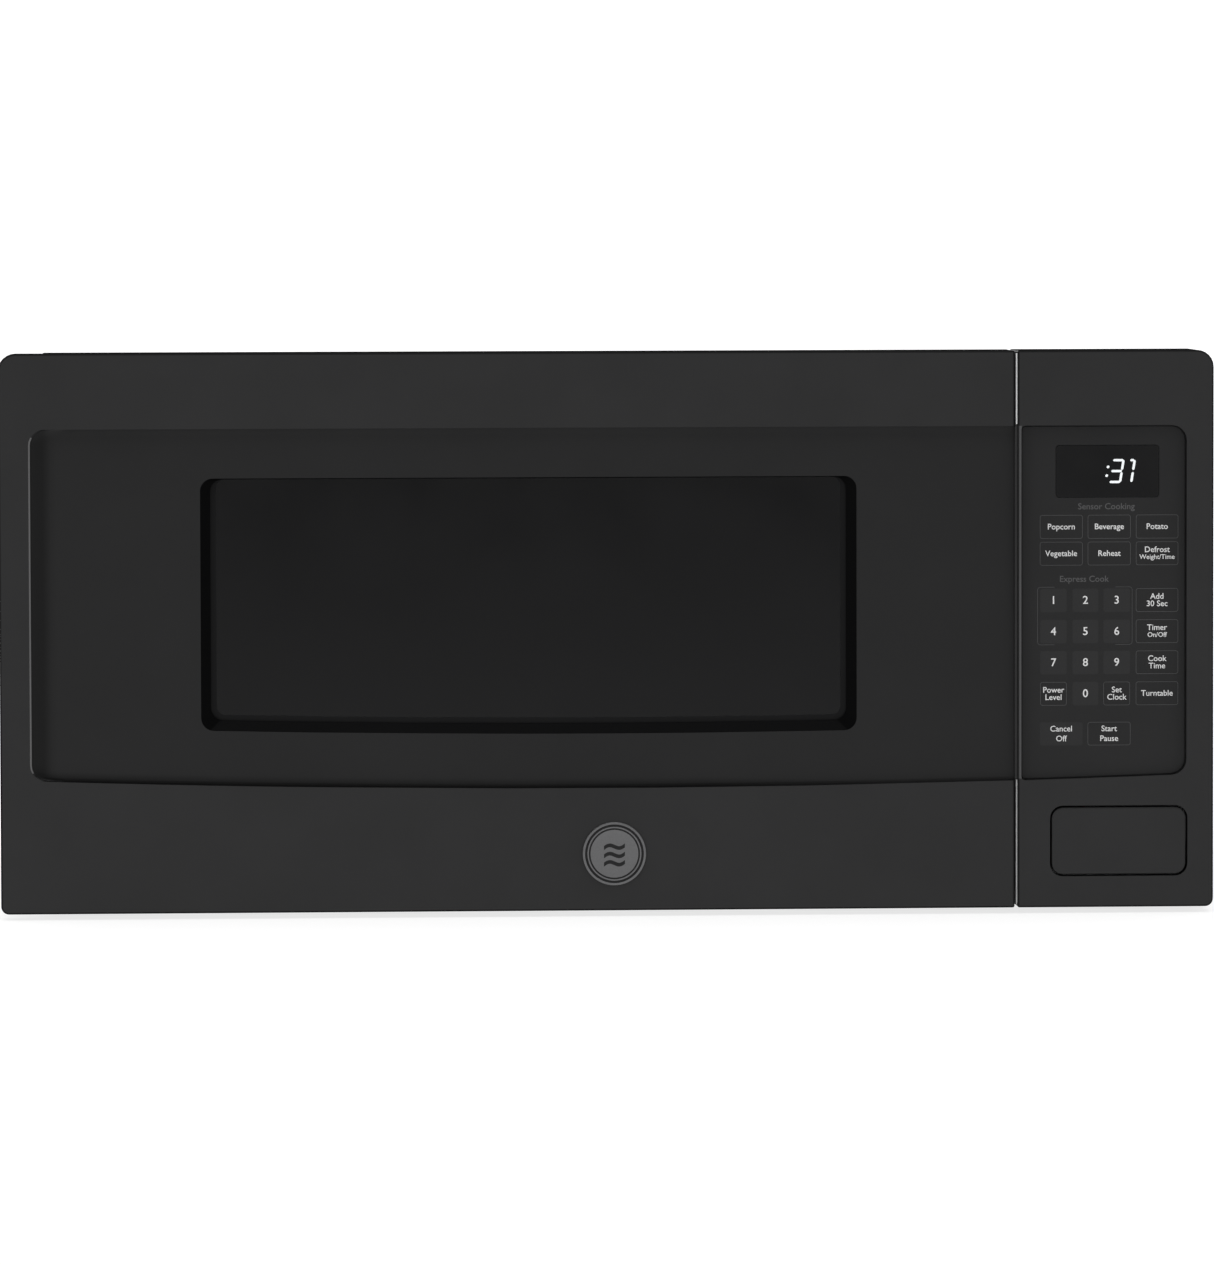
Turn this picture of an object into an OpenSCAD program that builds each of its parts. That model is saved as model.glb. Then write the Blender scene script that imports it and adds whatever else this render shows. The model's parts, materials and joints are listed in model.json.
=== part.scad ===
// Countertop and under-cabinet microwave oven with a side-hung door, a membrane control panel
// and a push button that releases the door. Front towards -Y, +X to the right, +Z up.
// Origin: on the counter, under the centre of the overall box. Millimetres.

/* [Overall] */
// Width across the door and control panel
overall_w = 613; // [520:1:740]
// Depth from the badge to the cord bush
overall_d = 400; // [340:1:480]
// Height of the door and control panel
front_h = 282; // [240:1:340]
// Gap between the counter and the door's lower edge
floor_gap = 3; // [2:0.5:6]

/* [Front styling] */
// Width of the control panel
panel_w = 99.5; // [96:0.5:120]
// Gap between the door and the control panel
reveal = 1.5; // [1:0.1:3]
// Radius of the front's upper outer corners
corner_top = 8.5; // [4:0.5:14]
// Radius of the front's lower outer corners
corner_low = 4; // [2:0.5:10]
// Depth of the shallow recess in the door and panel
recess_deep = 3.5; // [2:0.5:5]
// Height of the raised border above the recess
border_top = 38; // [25:1:50]
// Height of the raised border below the recess, at the centre
border_low = 62; // [56:1:75]
// Width of the raised border at the left and right
border_side = 15; // [10:1:25]
// Radius of the recess corners
recess_corner = 8; // [4:0.5:14]
// Radius of the long curve along the recess and window bottoms
smile_r = 8125; // [4000:125:16000]
// Radius of the round badge
badge_r = 16; // [10:0.5:22]
// How far the badge stands proud of the door
badge_proud = 0.8; // [0.4:0.1:1.5]

/* [Window] */
// From the door's left edge to the window
window_side = 101; // [80:1:120]
// From the door's right edge to the window
window_latch_side = 79.9; // [70:0.1:100]
// From the door's upper edge to the window
window_top = 63; // [55:1:80]
// From the door's lower edge to the window, at the centre
window_low = 89.4; // [80:0.2:100]
// Radius of the window corners
window_corner = 6.3; // [3:0.1:10]
// Width of the bevel round the window
window_bevel = 5; // [3:0.5:8]
// Thickness of the outer window pane
pane_t = 3; // [2:0.5:4]

/* [Door] */
// Thickness of the door
door_t = 39; // [34:0.5:48]
// Gap between the closed door and the front plate
door_gap = 2; // [2:0.1:4]
// Wall of the moulded plastic pieces
wall = 2.5; // [2:0.1:3]
// Thickness of the plastic cover over the choke channel
choke_cover_t = 2.8; // [2:0.1:4]
// From the door's left edge to the hinge axis
hinge_inset = 7; // [6:0.5:10]
// From the door's rear face forward to the hinge axis
hinge_depth = 18; // [16:0.5:20]
// Diameter of the hinge pins
hinge_pin_d = 6; // [4:0.5:8]

/* [Sheet metal] */
// Thickness of the steel sheet
sheet = 0.8; // [0.6:0.1:1.2]
// From the front's outer edge in to the cabinet's side
side_inset = 3; // [1:0.5:6]
// From the front's upper edge down to the cabinet's roof
roof_inset = 8; // [4:0.5:12]
// Height of the rubber feet
foot_h = 8; // [6:0.5:12]
// How far the cord bush stands out behind the rear panel
bush_proud = 4; // [3:0.5:6]

/* [Oven cavity] */
// Air gap between the front's left edge and the cavity
left_air = 41.5; // [30:0.5:60]
// Space for the works between the cavity and the front's right edge
works_w = 141.5; // [140:0.5:160]
// Air gap between the cavity and the rear panel
rear_air = 25.2; // [20:0.2:40]
// Air gap between the cabinet's underside and the cavity floor
floor_air = 30; // [28:0.5:40]
// Air gap between the cavity and the cabinet's roof
roof_air = 25; // [20:0.5:40]

/* [Turntable] */
// Gap between the tray's rim and the nearest cavity wall
tray_air = 6; // [4:0.5:30]
// Thickness of the glass tray
tray_t = 5; // [4:0.5:7]
// From the tray's rim in to the roller track
track_inset = 52.7; // [40:0.1:70]
// Radius of the rollers
roller_r = 9; // [7:0.5:11]
// Number of rollers
roller_count = 3; // [3:1:3]

/* [Door release] */
// Travel of the push button
button_travel = 6; // [5:0.5:7]
// Width of the push button
button_w = 68.2; // [60:0.2:72]
// Height of the push button
button_h = 34.1; // [28:0.1:36]
// Lift of the latch hooks
hook_lift = 5; // [4:0.5:6]

/* [Hidden] */

$fn = 64;
cut = 1;                // how far a cutting shape runs past the face it cuts
fit_gap = 0.5;          // clearance between parts that drop into each other
run_gap = 0.05;         // radial clearance of a shaft in its bore
touch_gap = 0.3;        // clearance between rolling or sliding faces
swing_gap = 0.5;        // clearance under the hooks as the door swings
smile_steps = 24;       // points along the long lower curves
corner_steps = 6;       // points round one corner

// Front planes and edges
x_left = -overall_w / 2;
x_right = overall_w / 2;
z_low = floor_gap;
z_high = floor_gap + front_h;
y_front = -overall_d / 2 + badge_proud;
y_recess = y_front + recess_deep;
y_door_rear = y_front + door_t;
y_plate = y_door_rear + door_gap;
panel_left = x_right - panel_w;
door_right = panel_left - reveal;

// Cabinet faces
cab_x = overall_w / 2 - side_inset;
cab_top = z_high - roof_inset;
roof_in = cab_top - sheet;
side_in = cab_x - sheet;
y_back = overall_d / 2 - bush_proud;
back_in = y_back - sheet;
base_top = foot_h + sheet;
flange_w = 10;
bend_r = 4;

// Cavity faces, all on the inside
cav_left = x_left + left_air;
cav_right = x_right - works_w;
cav_front = y_plate + sheet;
cav_back = back_in - rear_air;
cav_floor = foot_h + floor_air;
cav_roof = cab_top - roof_air;
cav_x = (cav_left + cav_right) / 2;
cav_y = (cav_front + cav_back) / 2;
works_left = cav_right + sheet;

// Turntable
tray_r = min(cav_right - cav_left, cav_back - cav_front) / 2 - tray_air;
track_r = tray_r - track_inset;
roller_z = cav_floor + touch_gap + roller_r;
tray_z = roller_z + roller_r + touch_gap;
roller_w = 8;
axle_r = 2;
shaft_r = 3.5;
shaft_low = cav_floor - 12;
shaft_top = cav_floor + 10;
hub_r = 12;
coupler_z = cav_floor + 1.5;
lug_r = 3;
lug_circle_r = 20;

// Door insides
y_skin_in = y_recess + wall;
y_skin_rear = y_door_rear - choke_cover_t;
y_bevel = y_recess + 3;
y_pane = y_bevel + 1.5;
pane_lip = 3.5;
boss_w = 8;
frame_left = x_left + wall + fit_gap;
frame_right = door_right - wall - fit_gap;
frame_low = z_low + wall + fit_gap;
frame_high = z_high - wall - fit_gap;
y_frame = y_pane + pane_t + 2.2;
tube_gap = 10;
tube_left = cav_left - tube_gap;
tube_right = cav_right + tube_gap;
tube_low = cav_floor - tube_gap;
tube_high = cav_roof + tube_gap;
screen_margin = 20;
screen_t = 0.6;

// Hinge
pin_r = hinge_pin_d / 2;
ear_t = 4;
ear_r = pin_r + 3;
hinge_x = x_left + max(hinge_inset, wall + ear_r - 1.5);
hinge_y = y_door_rear - hinge_depth;
ear_sink = 0.1;
tab_t = 2.5;
tab_gap = 0.6;
pin_head_t = 2;
corner_cut = 15;
foot_plate_t = 1.6;

// Push button and release lever
button_right = x_right - 14;
button_left = button_right - button_w;
button_low = z_low + 16.6;
button_corner = 5.6;
button_gap = 0.8;
button_wall = 2.5;
stem_x = button_left + 25.7;
stem_w = 8;
stem_z = button_low + 24;
lever_y = cav_front + 7.4;
lever_arm = 14.7;
lever_tip_r = 2;
lever_z = stem_z + lever_arm;
lever_shaft_r = 2.5;
pad_arm = 12;
pad_gap = 0.4;
guide_y = y_recess + 24;
guide_t = 2;

// Latch hooks
bar_x = cav_right + 22;
bar_w = 6;
hook_w = 5;
hook_low = lever_z + lever_tip_r + pad_gap;
hook_high = z_high - 70;
hook_zs = [hook_low, hook_high];
hook_end = lever_y + pad_arm + 3;
barb_h = 4;
barb_w = 7;
arm_h = 9;
bar_y = y_frame + sheet + 4;
bar_deep = 8;
bar_top = frame_high - sheet - 31;
slot_side = 3;
latch_t = 2.5;

// Works beside the cavity
works_x = (works_left + side_in) / 2;
fan_t = 27;
fan_size = 116;
fan_z = 150;
fan_y = back_in - fan_t;
spoke_t = 4;
fan_bore_r = 52;
fan_blade_r = 48;
fan_shaft_r = 2;
fan_motor_l = 34;
fan_motor_w = 56;
mag_l = 95;
mag_h = 80;
mag_w = 56;
mag_wall = 2;
mag_back = fan_y - fan_motor_l - 12;
mag_y = mag_back - mag_l / 2;
mag_z = fan_z;
wg_deep = 38.2;
wg_w = 80;
wg_h = 70;
mag_x = works_left + wg_deep + mag_wall;
antenna_r = 10;
port_size = 50;
core_w = 100;
core_l = 90;
core_h = 88;
core_leg = 22;
core_x = works_left + 20;
core_y = fan_y - 3 - core_l;
can_l = 54;
can_w = 35;
can_h = 82;
can_x = works_left + 46;
can_y = core_y - 12 - can_l / 2;

// Control panel insides
membrane_t = 0.6;
membrane_edge = 0.5;
y_membrane_floor = y_recess + membrane_t;
y_panel_in = y_membrane_floor + wall;
display_w = 52.6;
display_h = 26.6;
display_left = panel_left + 19.6;
display_high = z_high - 47.9;
lens_gap = 0.15;
lens_t = 2.6;
y_board = y_panel_in + 12;
board_t = 1.6;
board_left = panel_left + wall + 4;
board_right = x_right - wall - 4;
board_low = guide_top() + 6;
board_high = z_high - wall - 8;

function guide_top() = stem_z + 13;

// Outline helpers

// Points of an arc about c from angle a0 to a1
function arc(c, r, a0, a1, n) =
  [for (i = [0:n]) c + r * [cos(a0 + (a1 - a0) * i / n), sin(a0 + (a1 - a0) * i / n)]];

// Height of a corner's centre that is tangent to the long curve with its lowest point at z0
function low_centre(x, r, z0) = z0 + smile_r - sqrt(pow(smile_r - r, 2) - x * x);

// Outline with straight sides and top, and the long curve as its bottom.
// r is [top left, top right, lower right, lower left]
function smile_points(x0, x1, z0, z1, r) =
  let (
    cl = [x0 + r[3], low_centre(x0 + r[3], r[3], z0)],
    cr = [x1 - r[2], low_centre(x1 - r[2], r[2], z0)],
    big = [0, z0 + smile_r],
    al = 360 + atan2(cl[1] - big[1], cl[0]),
    ar = 360 + atan2(cr[1] - big[1], cr[0])
  )
  concat(
    arc(cl, r[3], 180, al, corner_steps),
    [for (i = [1:smile_steps - 1])
      big + smile_r * [cos(al + (ar - al) * i / smile_steps),
                       sin(al + (ar - al) * i / smile_steps)]],
    arc(cr, r[2], ar, 360, corner_steps),
    arc([x1 - r[1], z1 - r[1]], r[1], 0, 90, corner_steps),
    arc([x0 + r[0], z1 - r[0]], r[0], 90, 180, corner_steps)
  );

// Rectangle with its own radius at each corner, in the same order
function plate_points(x0, x1, z0, z1, r) =
  concat(
    arc([x0 + r[3], z0 + r[3]], r[3], 180, 270, corner_steps),
    arc([x1 - r[2], z0 + r[2]], r[2], 270, 360, corner_steps),
    arc([x1 - r[1], z1 - r[1]], r[1], 0, 90, corner_steps),
    arc([x0 + r[0], z1 - r[0]], r[0], 90, 180, corner_steps)
  );

// Draws a front-view outline as a solid from y0 back to y1
module slab(y0, y1) {
  translate([0, y1, 0]) rotate([90, 0, 0]) linear_extrude(y1 - y0) children();
}

// Box between two opposite corners
module box(lo, hi) {
  translate(lo) cube(hi - lo);
}

// Rod along +X or +Y from a point
module rod_x(p, r, l) {
  translate(p) rotate([0, 90, 0]) cylinder(r = r, h = l);
}
module rod_y(p, r, l) {
  translate(p) rotate([-90, 0, 0]) cylinder(r = r, h = l);
}

// Rectangular tube of sheet thickness t round the given outside, along Y
module tube_y(x0, x1, z0, z1, y0, y1, t) {
  difference() {
    box([x0, y0, z0], [x1, y1, z1]);
    box([x0 + t, y0 - cut, z0 + t], [x1 - t, y1 + cut, z1 - t]);
  }
}

// Row of slots through a sheet that lies across X, Y or Z
module slots(at, size, step, n) {
  for (i = [0:n - 1]) translate(at + step * i) cube(size, center = true);
}

// Wire coil along +Z as a swept tube
module coil(r, wire_r, turns, l) {
  sides = 8;
  per_turn = 14;
  n = per_turn * turns;
  function ring(i) =
    let (a = 360 * i / per_turn, c = [r * cos(a), r * sin(a), wire_r + (l - 2 * wire_r) * i / n])
    [for (k = [0:sides - 1])
      c + wire_r * [cos(a) * cos(360 * k / sides), sin(a) * cos(360 * k / sides),
                    sin(360 * k / sides)]];
  points = [for (i = [0:n]) each ring(i)];
  faces = concat(
    [[for (k = [0:sides - 1]) k]],
    [for (i = [0:n - 1], k = [0:sides - 1])
      let (a = i * sides + k, b = i * sides + (k + 1) % sides)
      each [[a, a + sides, b], [b, a + sides, b + sides]]],
    [[for (k = [sides - 1:-1:0]) n * sides + k]]
  );
  polyhedron(points, faces);
}

// Casing

nut_xs = [-cab_x + 45, cab_x - 45];
nut_ys = [y_plate + 60, y_back - 70];
nut_hole_r = 3.2;

// Outline of the wrap with its rounded bends, drawn in by e
module wrap_outline(e) {
  r = bend_r - e;
  polygon(concat(
    [[-cab_x + e, foot_h], [cab_x - e, foot_h]],
    arc([cab_x - bend_r, cab_top - bend_r], r, 0, 90, corner_steps),
    arc([-cab_x + bend_r, cab_top - bend_r], r, 90, 180, corner_steps)
  ));
}

module outer_cabinet() {
  color("dimgray") difference() {
    union() {
      slab(y_plate, back_in) difference() {
        wrap_outline(0);
        translate([0, -cut]) wrap_outline(sheet);
        wrap_outline(sheet);
      }
      slab(back_in - sheet, back_in) difference() {
        wrap_outline(0);
        translate([0, foot_h])
          square([2 * (side_in - flange_w), 2 * (roof_in - flange_w - foot_h)], center = true);
        translate([-cab_x, foot_h - cut]) square([2 * cab_x, base_top + flange_w - foot_h + cut]);
      }
      for (s = [-1, 1])
        box([s > 0 ? side_in : -cab_x, back_in - sheet, foot_h],
            [s > 0 ? cab_x : -side_in, back_in, base_top + flange_w]);
    }
    for (x = nut_xs, y = nut_ys)
      translate([x, y, roof_in - cut]) cylinder(r = nut_hole_r, h = sheet + 2 * cut);
    for (s = [-1, 1])
      slots([s * (cab_x - sheet / 2), y_back - 150, roof_in - 60], [sheet + 2 * cut, 4, 36],
            [0, 10, 0], 11);
    slots([cab_x - sheet / 2, y_plate + 40, base_top + 38], [sheet + 2 * cut, 4, 36],
          [0, 10, 0], 8);
    screw_holes(sheet * 3);
  }
}

screw_r = 1.7;
screw_xs = [-cab_x + 6, cab_x - 6];
screw_zs = [base_top + 30, roof_in - 20];
roof_screw_xs = [-120, 120];

module screw_places() {
  for (x = screw_xs, z = screw_zs) translate([x, back_in, z]) children();
  for (x = roof_screw_xs) translate([x, back_in, roof_in - 5]) children();
}

module screw_holes(l) {
  screw_places() rod_y([0, -l, 0], screw_r + 0.1, 2 * l);
}

module rear_panel() {
  color("lightgray") difference() {
    slab(back_in, y_back) wrap_outline(sheet);
    for (k = [0:8])
      slots([works_x - 44 + 11 * k, back_in, fan_z - 32], [5, 4 * sheet, 13], [0, 0, 16], 5);
    slots([cav_x - 110, back_in, roof_in - 30], [5, 4 * sheet, 26], [10, 0, 0], 22);
    rod_y([bush_x, back_in - cut, bush_z], bush_r, sheet + 2 * cut);
    screw_holes(2 * sheet);
  }
}

module base_plate() {
  color("lightgray") difference() {
    union() {
      box([-side_in, cav_front, foot_h], [side_in, back_in, base_top]);
      box([-side_in, back_in - sheet, base_top], [side_in, back_in, base_top + flange_w]);
      box([hinge_x + 28, cav_front, base_top],
          [side_in, cav_front + sheet, base_top + flange_w]);
    }
    for (x = foot_xs, y = foot_ys)
      translate([x, y, foot_h - cut]) cylinder(r = foot_stud_r, h = sheet + 2 * cut);
    slots([works_left + 20, cav_front + 30, foot_h], [4, 40, 4 * sheet], [9, 0, 0], 11);
    slots([cav_x - 60, cav_back - 30, foot_h], [4, 36, 4 * sheet], [10, 0, 0], 13);
  }
}

foot_r = 13;
foot_stud_r = 4;
foot_xs = [-cab_x + 45, cab_x - 45];
foot_ys = [y_plate + 32, y_back - 35];

module feet() {
  color([0.08, 0.08, 0.08]) for (x = foot_xs, y = foot_ys) translate([x, y, 0]) difference() {
    union() {
      cylinder(r1 = foot_r - 1.5, r2 = foot_r, h = foot_h);
      cylinder(r = foot_stud_r, h = base_top + 2);
    }
    translate([0, 0, -cut]) cylinder(r = 3, h = cut + 3);
  }
}

module cabinet_screws() {
  color("silver") screw_places() {
    rod_y([0, -6, 0], screw_r, 6 + sheet);
    difference() {
      rod_y([0, sheet, 0], 4, 2);
      box([-3, sheet + 1, -0.4], [3, sheet + 2 + cut, 0.4]);
      box([-0.4, sheet + 1, -3], [0.4, sheet + 2 + cut, 3]);
    }
  }
}

module mounting_nuts() {
  color("silver") for (x = nut_xs, y = nut_ys) translate([x, y, roof_in - 6]) difference() {
    cylinder(r = 6.5, h = 6, $fn = 6);
    translate([0, 0, -cut]) cylinder(r = nut_hole_r, h = 6 + 2 * cut);
  }
}

bush_x = works_left + 34;
bush_z = base_top + 50;
bush_r = 8;
cord_hole_r = 4.2;

module cord_bush() {
  color([0.06, 0.06, 0.06]) difference() {
    union() {
      rod_y([bush_x, back_in - 12, bush_z], bush_r - 0.1, 12 + sheet);
      rod_y([bush_x, y_back, bush_z], bush_r + 3, bush_proud);
    }
    rod_y([bush_x, back_in - 12 - cut, bush_z], cord_hole_r, 12 + sheet + bush_proud + 2 * cut);
  }
}

// Oven box

plate_right = panel_left + 12;

module hook_slots(y0, y1) {
  for (h = hook_zs)
    box([bar_x - hook_w / 2 - slot_side, y0 - cut, h - 1.5],
        [bar_x + hook_w / 2 + slot_side, y1 + cut, h + barb_h + arm_h + hook_lift + 1.5]);
}

module front_plate() {
  color([0.75, 0.75, 0.75]) difference() {
    box([-side_in, y_plate, foot_h], [plate_right, cav_front, roof_in - bend_r]);
    box([cav_left, y_plate - cut, cav_floor], [cav_right, cav_front + cut, cav_roof]);
    hook_slots(y_plate, cav_front);
    for (z = tab_zs)
      box([-side_in - cut, y_plate - cut, z - fit_gap],
          [hinge_x + 8, cav_front + cut, z + tab_t + fit_gap]);
  }
}

module oven_cavity() {
  color([0.78, 0.78, 0.76]) difference() {
    box([cav_left - sheet, cav_front, cav_floor - sheet],
        [cav_right + sheet, cav_back + sheet, cav_roof + sheet]);
    box([cav_left, cav_front - cut, cav_floor], [cav_right, cav_back, cav_roof]);
    box([cav_right - cut, mag_y - port_size / 2, mag_z - port_size / 2],
        [cav_right + 2 * sheet, mag_y + port_size / 2, mag_z + port_size / 2]);
    translate([cav_x, cav_y, cav_floor - 2 * sheet]) cylinder(r = shaft_r + 2, h = 4 * sheet);
    for (i = [0:5], k = [0:5])
      rod_x([cav_right - cut, lamp_y - 15 + 6 * i, lamp_z - 15 + 6 * k], 1.5, sheet + 2 * cut);
    for (i = [0:11], k = [0:2])
      translate([cav_x - 90 + 8 * i, cav_back - 30 + 8 * k, cav_roof - cut])
        cylinder(r = 1.8, h = sheet + 2 * cut);
  }
}

module waveguide() {
  color("silver") difference() {
    union() {
      box([works_left, mag_y - wg_w / 2, mag_z - wg_h / 2],
          [works_left + wg_deep, mag_y + wg_w / 2, mag_z + wg_h / 2]);
      box([works_left, mag_y - wg_w / 2 - 6, mag_z - wg_h / 2 - 6],
          [works_left + 1.2, mag_y + wg_w / 2 + 6, mag_z + wg_h / 2 + 6]);
    }
    box([works_left - cut, mag_y - wg_w / 2 + 1, mag_z - wg_h / 2 + 1],
        [works_left + wg_deep - 1, mag_y + wg_w / 2 - 1, mag_z + wg_h / 2 - 1]);
    rod_x([works_left, mag_y, mag_z], antenna_r + 3, wg_deep + cut);
  }
}

module waveguide_cover() {
  color([0.72, 0.68, 0.58]) difference() {
    box([cav_right - 0.5, mag_y - port_size / 2 - 8, mag_z - port_size / 2 - 8],
        [cav_right, mag_y + port_size / 2 + 8, mag_z + port_size / 2 + 8]);
    for (s = [-1, 1]) rod_x([cav_right - cut, mag_y, mag_z + s * (port_size / 2 + 4)], 1.5, 2);
  }
}

lamp_y = cav_front + 95;
lamp_z = cav_roof - 50;
socket_x = works_left + 48;

module lamp_socket() {
  color("ivory") difference() {
    union() {
      box([works_left, lamp_y - 22, lamp_z + 22], [socket_x + 18, lamp_y + 22, lamp_z + 24]);
      box([socket_x, lamp_y - 14, lamp_z - 14], [socket_x + 18, lamp_y + 14, lamp_z + 22]);
      box([works_left, lamp_y - 22, lamp_z + 12], [works_left + 1.5, lamp_y + 22, lamp_z + 22]);
    }
    rod_x([socket_x - cut, lamp_y, lamp_z], 7, 12 + cut);
  }
}

bulb_r = 11;
bulb_neck_r = 6.8;
bulb_l = 44;

module oven_lamp() {
  color([1, 0.95, 0.8]) translate([socket_x + 11, lamp_y, lamp_z]) rotate([0, -90, 0])
    rotate_extrude() polygon(concat(
      [[0, 0], [bulb_neck_r, 0]],
      arc([0, bulb_l - bulb_r], bulb_r, -acos(bulb_neck_r / bulb_r), 90, 16)));
}

thermostat_r = 8;

module cavity_thermostat() {
  color([0.2, 0.2, 0.2]) {
    translate([cav_x, cav_y + 70, cav_roof + sheet]) cylinder(r = thermostat_r, h = 7);
    translate([cav_x, cav_y + 70, cav_roof + sheet + 7]) for (s = [-1, 1])
      box([s * 4 - 0.4, -3, 0], [s * 4 + 0.4, 3, 7]);
  }
}

module humidity_sensor() {
  color([0.85, 0.85, 0.85]) translate([cav_x - 54, cav_back - 22, cav_roof + sheet]) {
    difference() {
      cube([34, 30, 12], center = false);
      translate([3, 3, -cut]) cube([28, 24, 8]);
    }
    translate([17, 15, 12]) cylinder(r = 6, h = 5);
  }
}

// Door

door_radii = [corner_top, 1, 1, corner_low];
window_left = x_left + window_side;
window_right = door_right - window_latch_side;
window_low_z = z_low + window_low;
window_high = z_high - window_top;

module door_outline() {
  polygon(plate_points(x_left, door_right, z_low, z_high, door_radii));
}

// Window outline drawn in by e at the sides and bottom, and by t at the top
module window_outline(e, t) {
  r = max(window_corner - e / 4, 1);
  polygon(smile_points(window_left + e, window_right - e, window_low_z + e, window_high - t,
                       [r, r, r, r]));
}

// Clears the hinge at the door's upper and lower left corners
module hinge_corners() {
  for (z = [z_high - corner_cut, z_low - cut])
    box([x_left - cut, hinge_y - ear_r - 3, z],
        [hinge_x + 15, y_door_rear + cut, z + corner_cut + cut]);
}

module door_skin() {
  color([0.16, 0.16, 0.17]) difference() {
    union() {
      difference() {
        slab(y_front, y_skin_rear) door_outline();
        slab(y_front - cut, y_recess)
          polygon(smile_points(x_left + border_side + 1, door_right + 20, z_low + border_low,
                               z_high - border_top,
                               [recess_corner, 1, 1, recess_corner]));
        box([x_left + wall, y_skin_in, z_low + wall],
            [door_right - wall, y_skin_rear + cut, z_high - wall]);
      }
      slab(y_skin_in - 0.5, y_pane + pane_t) window_outline(-boss_w, -boss_w);
    }
    slab(y_recess - cut, y_bevel) window_outline(0, 0);
    slab(y_bevel - cut, y_pane + pane_t + cut) window_outline(window_bevel, 0.5);
    slab(y_pane, y_pane + pane_t + cut) window_outline(window_bevel - pane_lip, -pane_lip);
    hinge_corners();
  }
}

module door_window() {
  color([0.09, 0.09, 0.1]) slab(y_pane, y_pane + pane_t)
    window_outline(window_bevel - pane_lip + 0.2, -pane_lip + 0.2);
}

ear_top = z_high - corner_cut - ear_sink;
ear_low = z_low + corner_cut + ear_sink;
ear_zs = [ear_low, ear_top - ear_t];

module door_frame() {
  color("silver") difference() {
    union() {
      difference() {
        union() {
          box([frame_left, y_frame, frame_low], [frame_right, y_frame + sheet, frame_high]);
          tube_y(frame_left, frame_right, frame_low, frame_high, y_frame + sheet, y_skin_rear,
                 sheet);
          tube_y(tube_left, tube_right, tube_low, tube_high, y_frame + sheet, y_skin_rear,
                 sheet);
          for (z = guide_zs, s = [-1, 1])
            box([bar_x + s * (bar_w / 2 + 0.8) - 0.4, y_frame + sheet, z],
                [bar_x + s * (bar_w / 2 + 0.8) + 0.4, bar_y + bar_deep, z + 15]);
        }
        box([window_left - screen_margin, y_frame - cut, window_low_z - screen_margin],
            [window_right + screen_margin, y_frame + sheet + cut, window_high + 14]);
        hinge_corners();
      }
      for (z = ear_zs) {
        translate([hinge_x + 1, hinge_y, z]) cylinder(r = ear_r - 1, h = ear_t);
        box([frame_left + sheet, hinge_y - ear_r + 1, z], [hinge_x + 12, y_skin_rear, z + ear_t]);
      }
    }
    for (z = ear_zs)
      translate([hinge_x, hinge_y, z - cut]) cylinder(r = pin_r + run_gap, h = ear_t + 2 * cut);
  }
}

guide_zs = [hook_low + 40, hook_high - 35];

module door_screen() {
  color([0.25, 0.25, 0.25]) box(
    [window_left - screen_margin - 6, y_frame + sheet, window_low_z - screen_margin - 6],
    [window_right + screen_margin + 6, y_frame + sheet + screen_t, window_high + 20]);
}

inner_pane_t = 2.5;

module inner_window() {
  color([0.6, 0.62, 0.62, 0.4]) box(
    [tube_left + sheet + 0.3, y_skin_rear - inner_pane_t, tube_low + sheet + 0.3],
    [tube_right - sheet - 0.3, y_skin_rear, tube_high - sheet - 0.3]);
}

module choke_cover() {
  lip = 1;
  color([0.12, 0.12, 0.12]) difference() {
    slab(y_skin_rear, y_door_rear)
      polygon(plate_points(x_left + lip, door_right - lip, z_low + lip, z_high - lip,
                           door_radii));
    box([cav_left + 8, y_skin_rear - cut, cav_floor + 8],
        [cav_right - 8, y_door_rear + cut, cav_roof - 8]);
    hook_slots(y_skin_rear, y_door_rear);
    hinge_corners();
  }
}

badge_x = 2.5;
badge_z = z_low + 28.8;

module door_badge() {
  color([0.4, 0.4, 0.41]) difference() {
    rod_y([badge_x, y_front - badge_proud, badge_z], badge_r, badge_proud);
    difference() {
      rod_y([badge_x, y_front - badge_proud - cut, badge_z], badge_r - 0.9, cut + 0.4);
      rod_y([badge_x, y_front - badge_proud - 2 * cut, badge_z], badge_r - 1.8, 3 * cut);
    }
  }
}

module latch_hooks() {
  color([0.85, 0.84, 0.8]) {
    box([bar_x - bar_w / 2, bar_y, hook_low], [bar_x + bar_w / 2, bar_y + bar_deep, bar_top]);
    for (h = hook_zs) {
      box([bar_x - hook_w / 2, bar_y + bar_deep, h + barb_h],
          [bar_x + hook_w / 2, hook_end, h + barb_h + arm_h]);
      box([bar_x - hook_w / 2, hook_end - barb_w, h], [bar_x + hook_w / 2, hook_end, h + barb_h]);
    }
  }
}

module latch_spring() {
  color("gray") translate([bar_x, bar_y + bar_deep / 2, bar_top])
    coil(2.6, 0.4, 9, frame_high - sheet - bar_top);
}

tab_zs = [ear_low - tab_gap - tab_t, ear_top + tab_gap];

module hinge_brackets() {
  color("silver") for (z = tab_zs) difference() {
    union() {
      translate([hinge_x, hinge_y, z]) cylinder(r = hinge_x - x_left - 1, h = tab_t);
      box([-side_in + 0.4, hinge_y, z], [hinge_x + 7, cav_front + foot_plate_t, z + tab_t]);
      box([-side_in + 0.4, cav_front, z - 6], [hinge_x + 24, cav_front + foot_plate_t, z + 4]);
    }
    translate([hinge_x, hinge_y, z - cut]) cylinder(r = pin_r + 0.02, h = tab_t + 2 * cut);
  }
}

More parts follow.
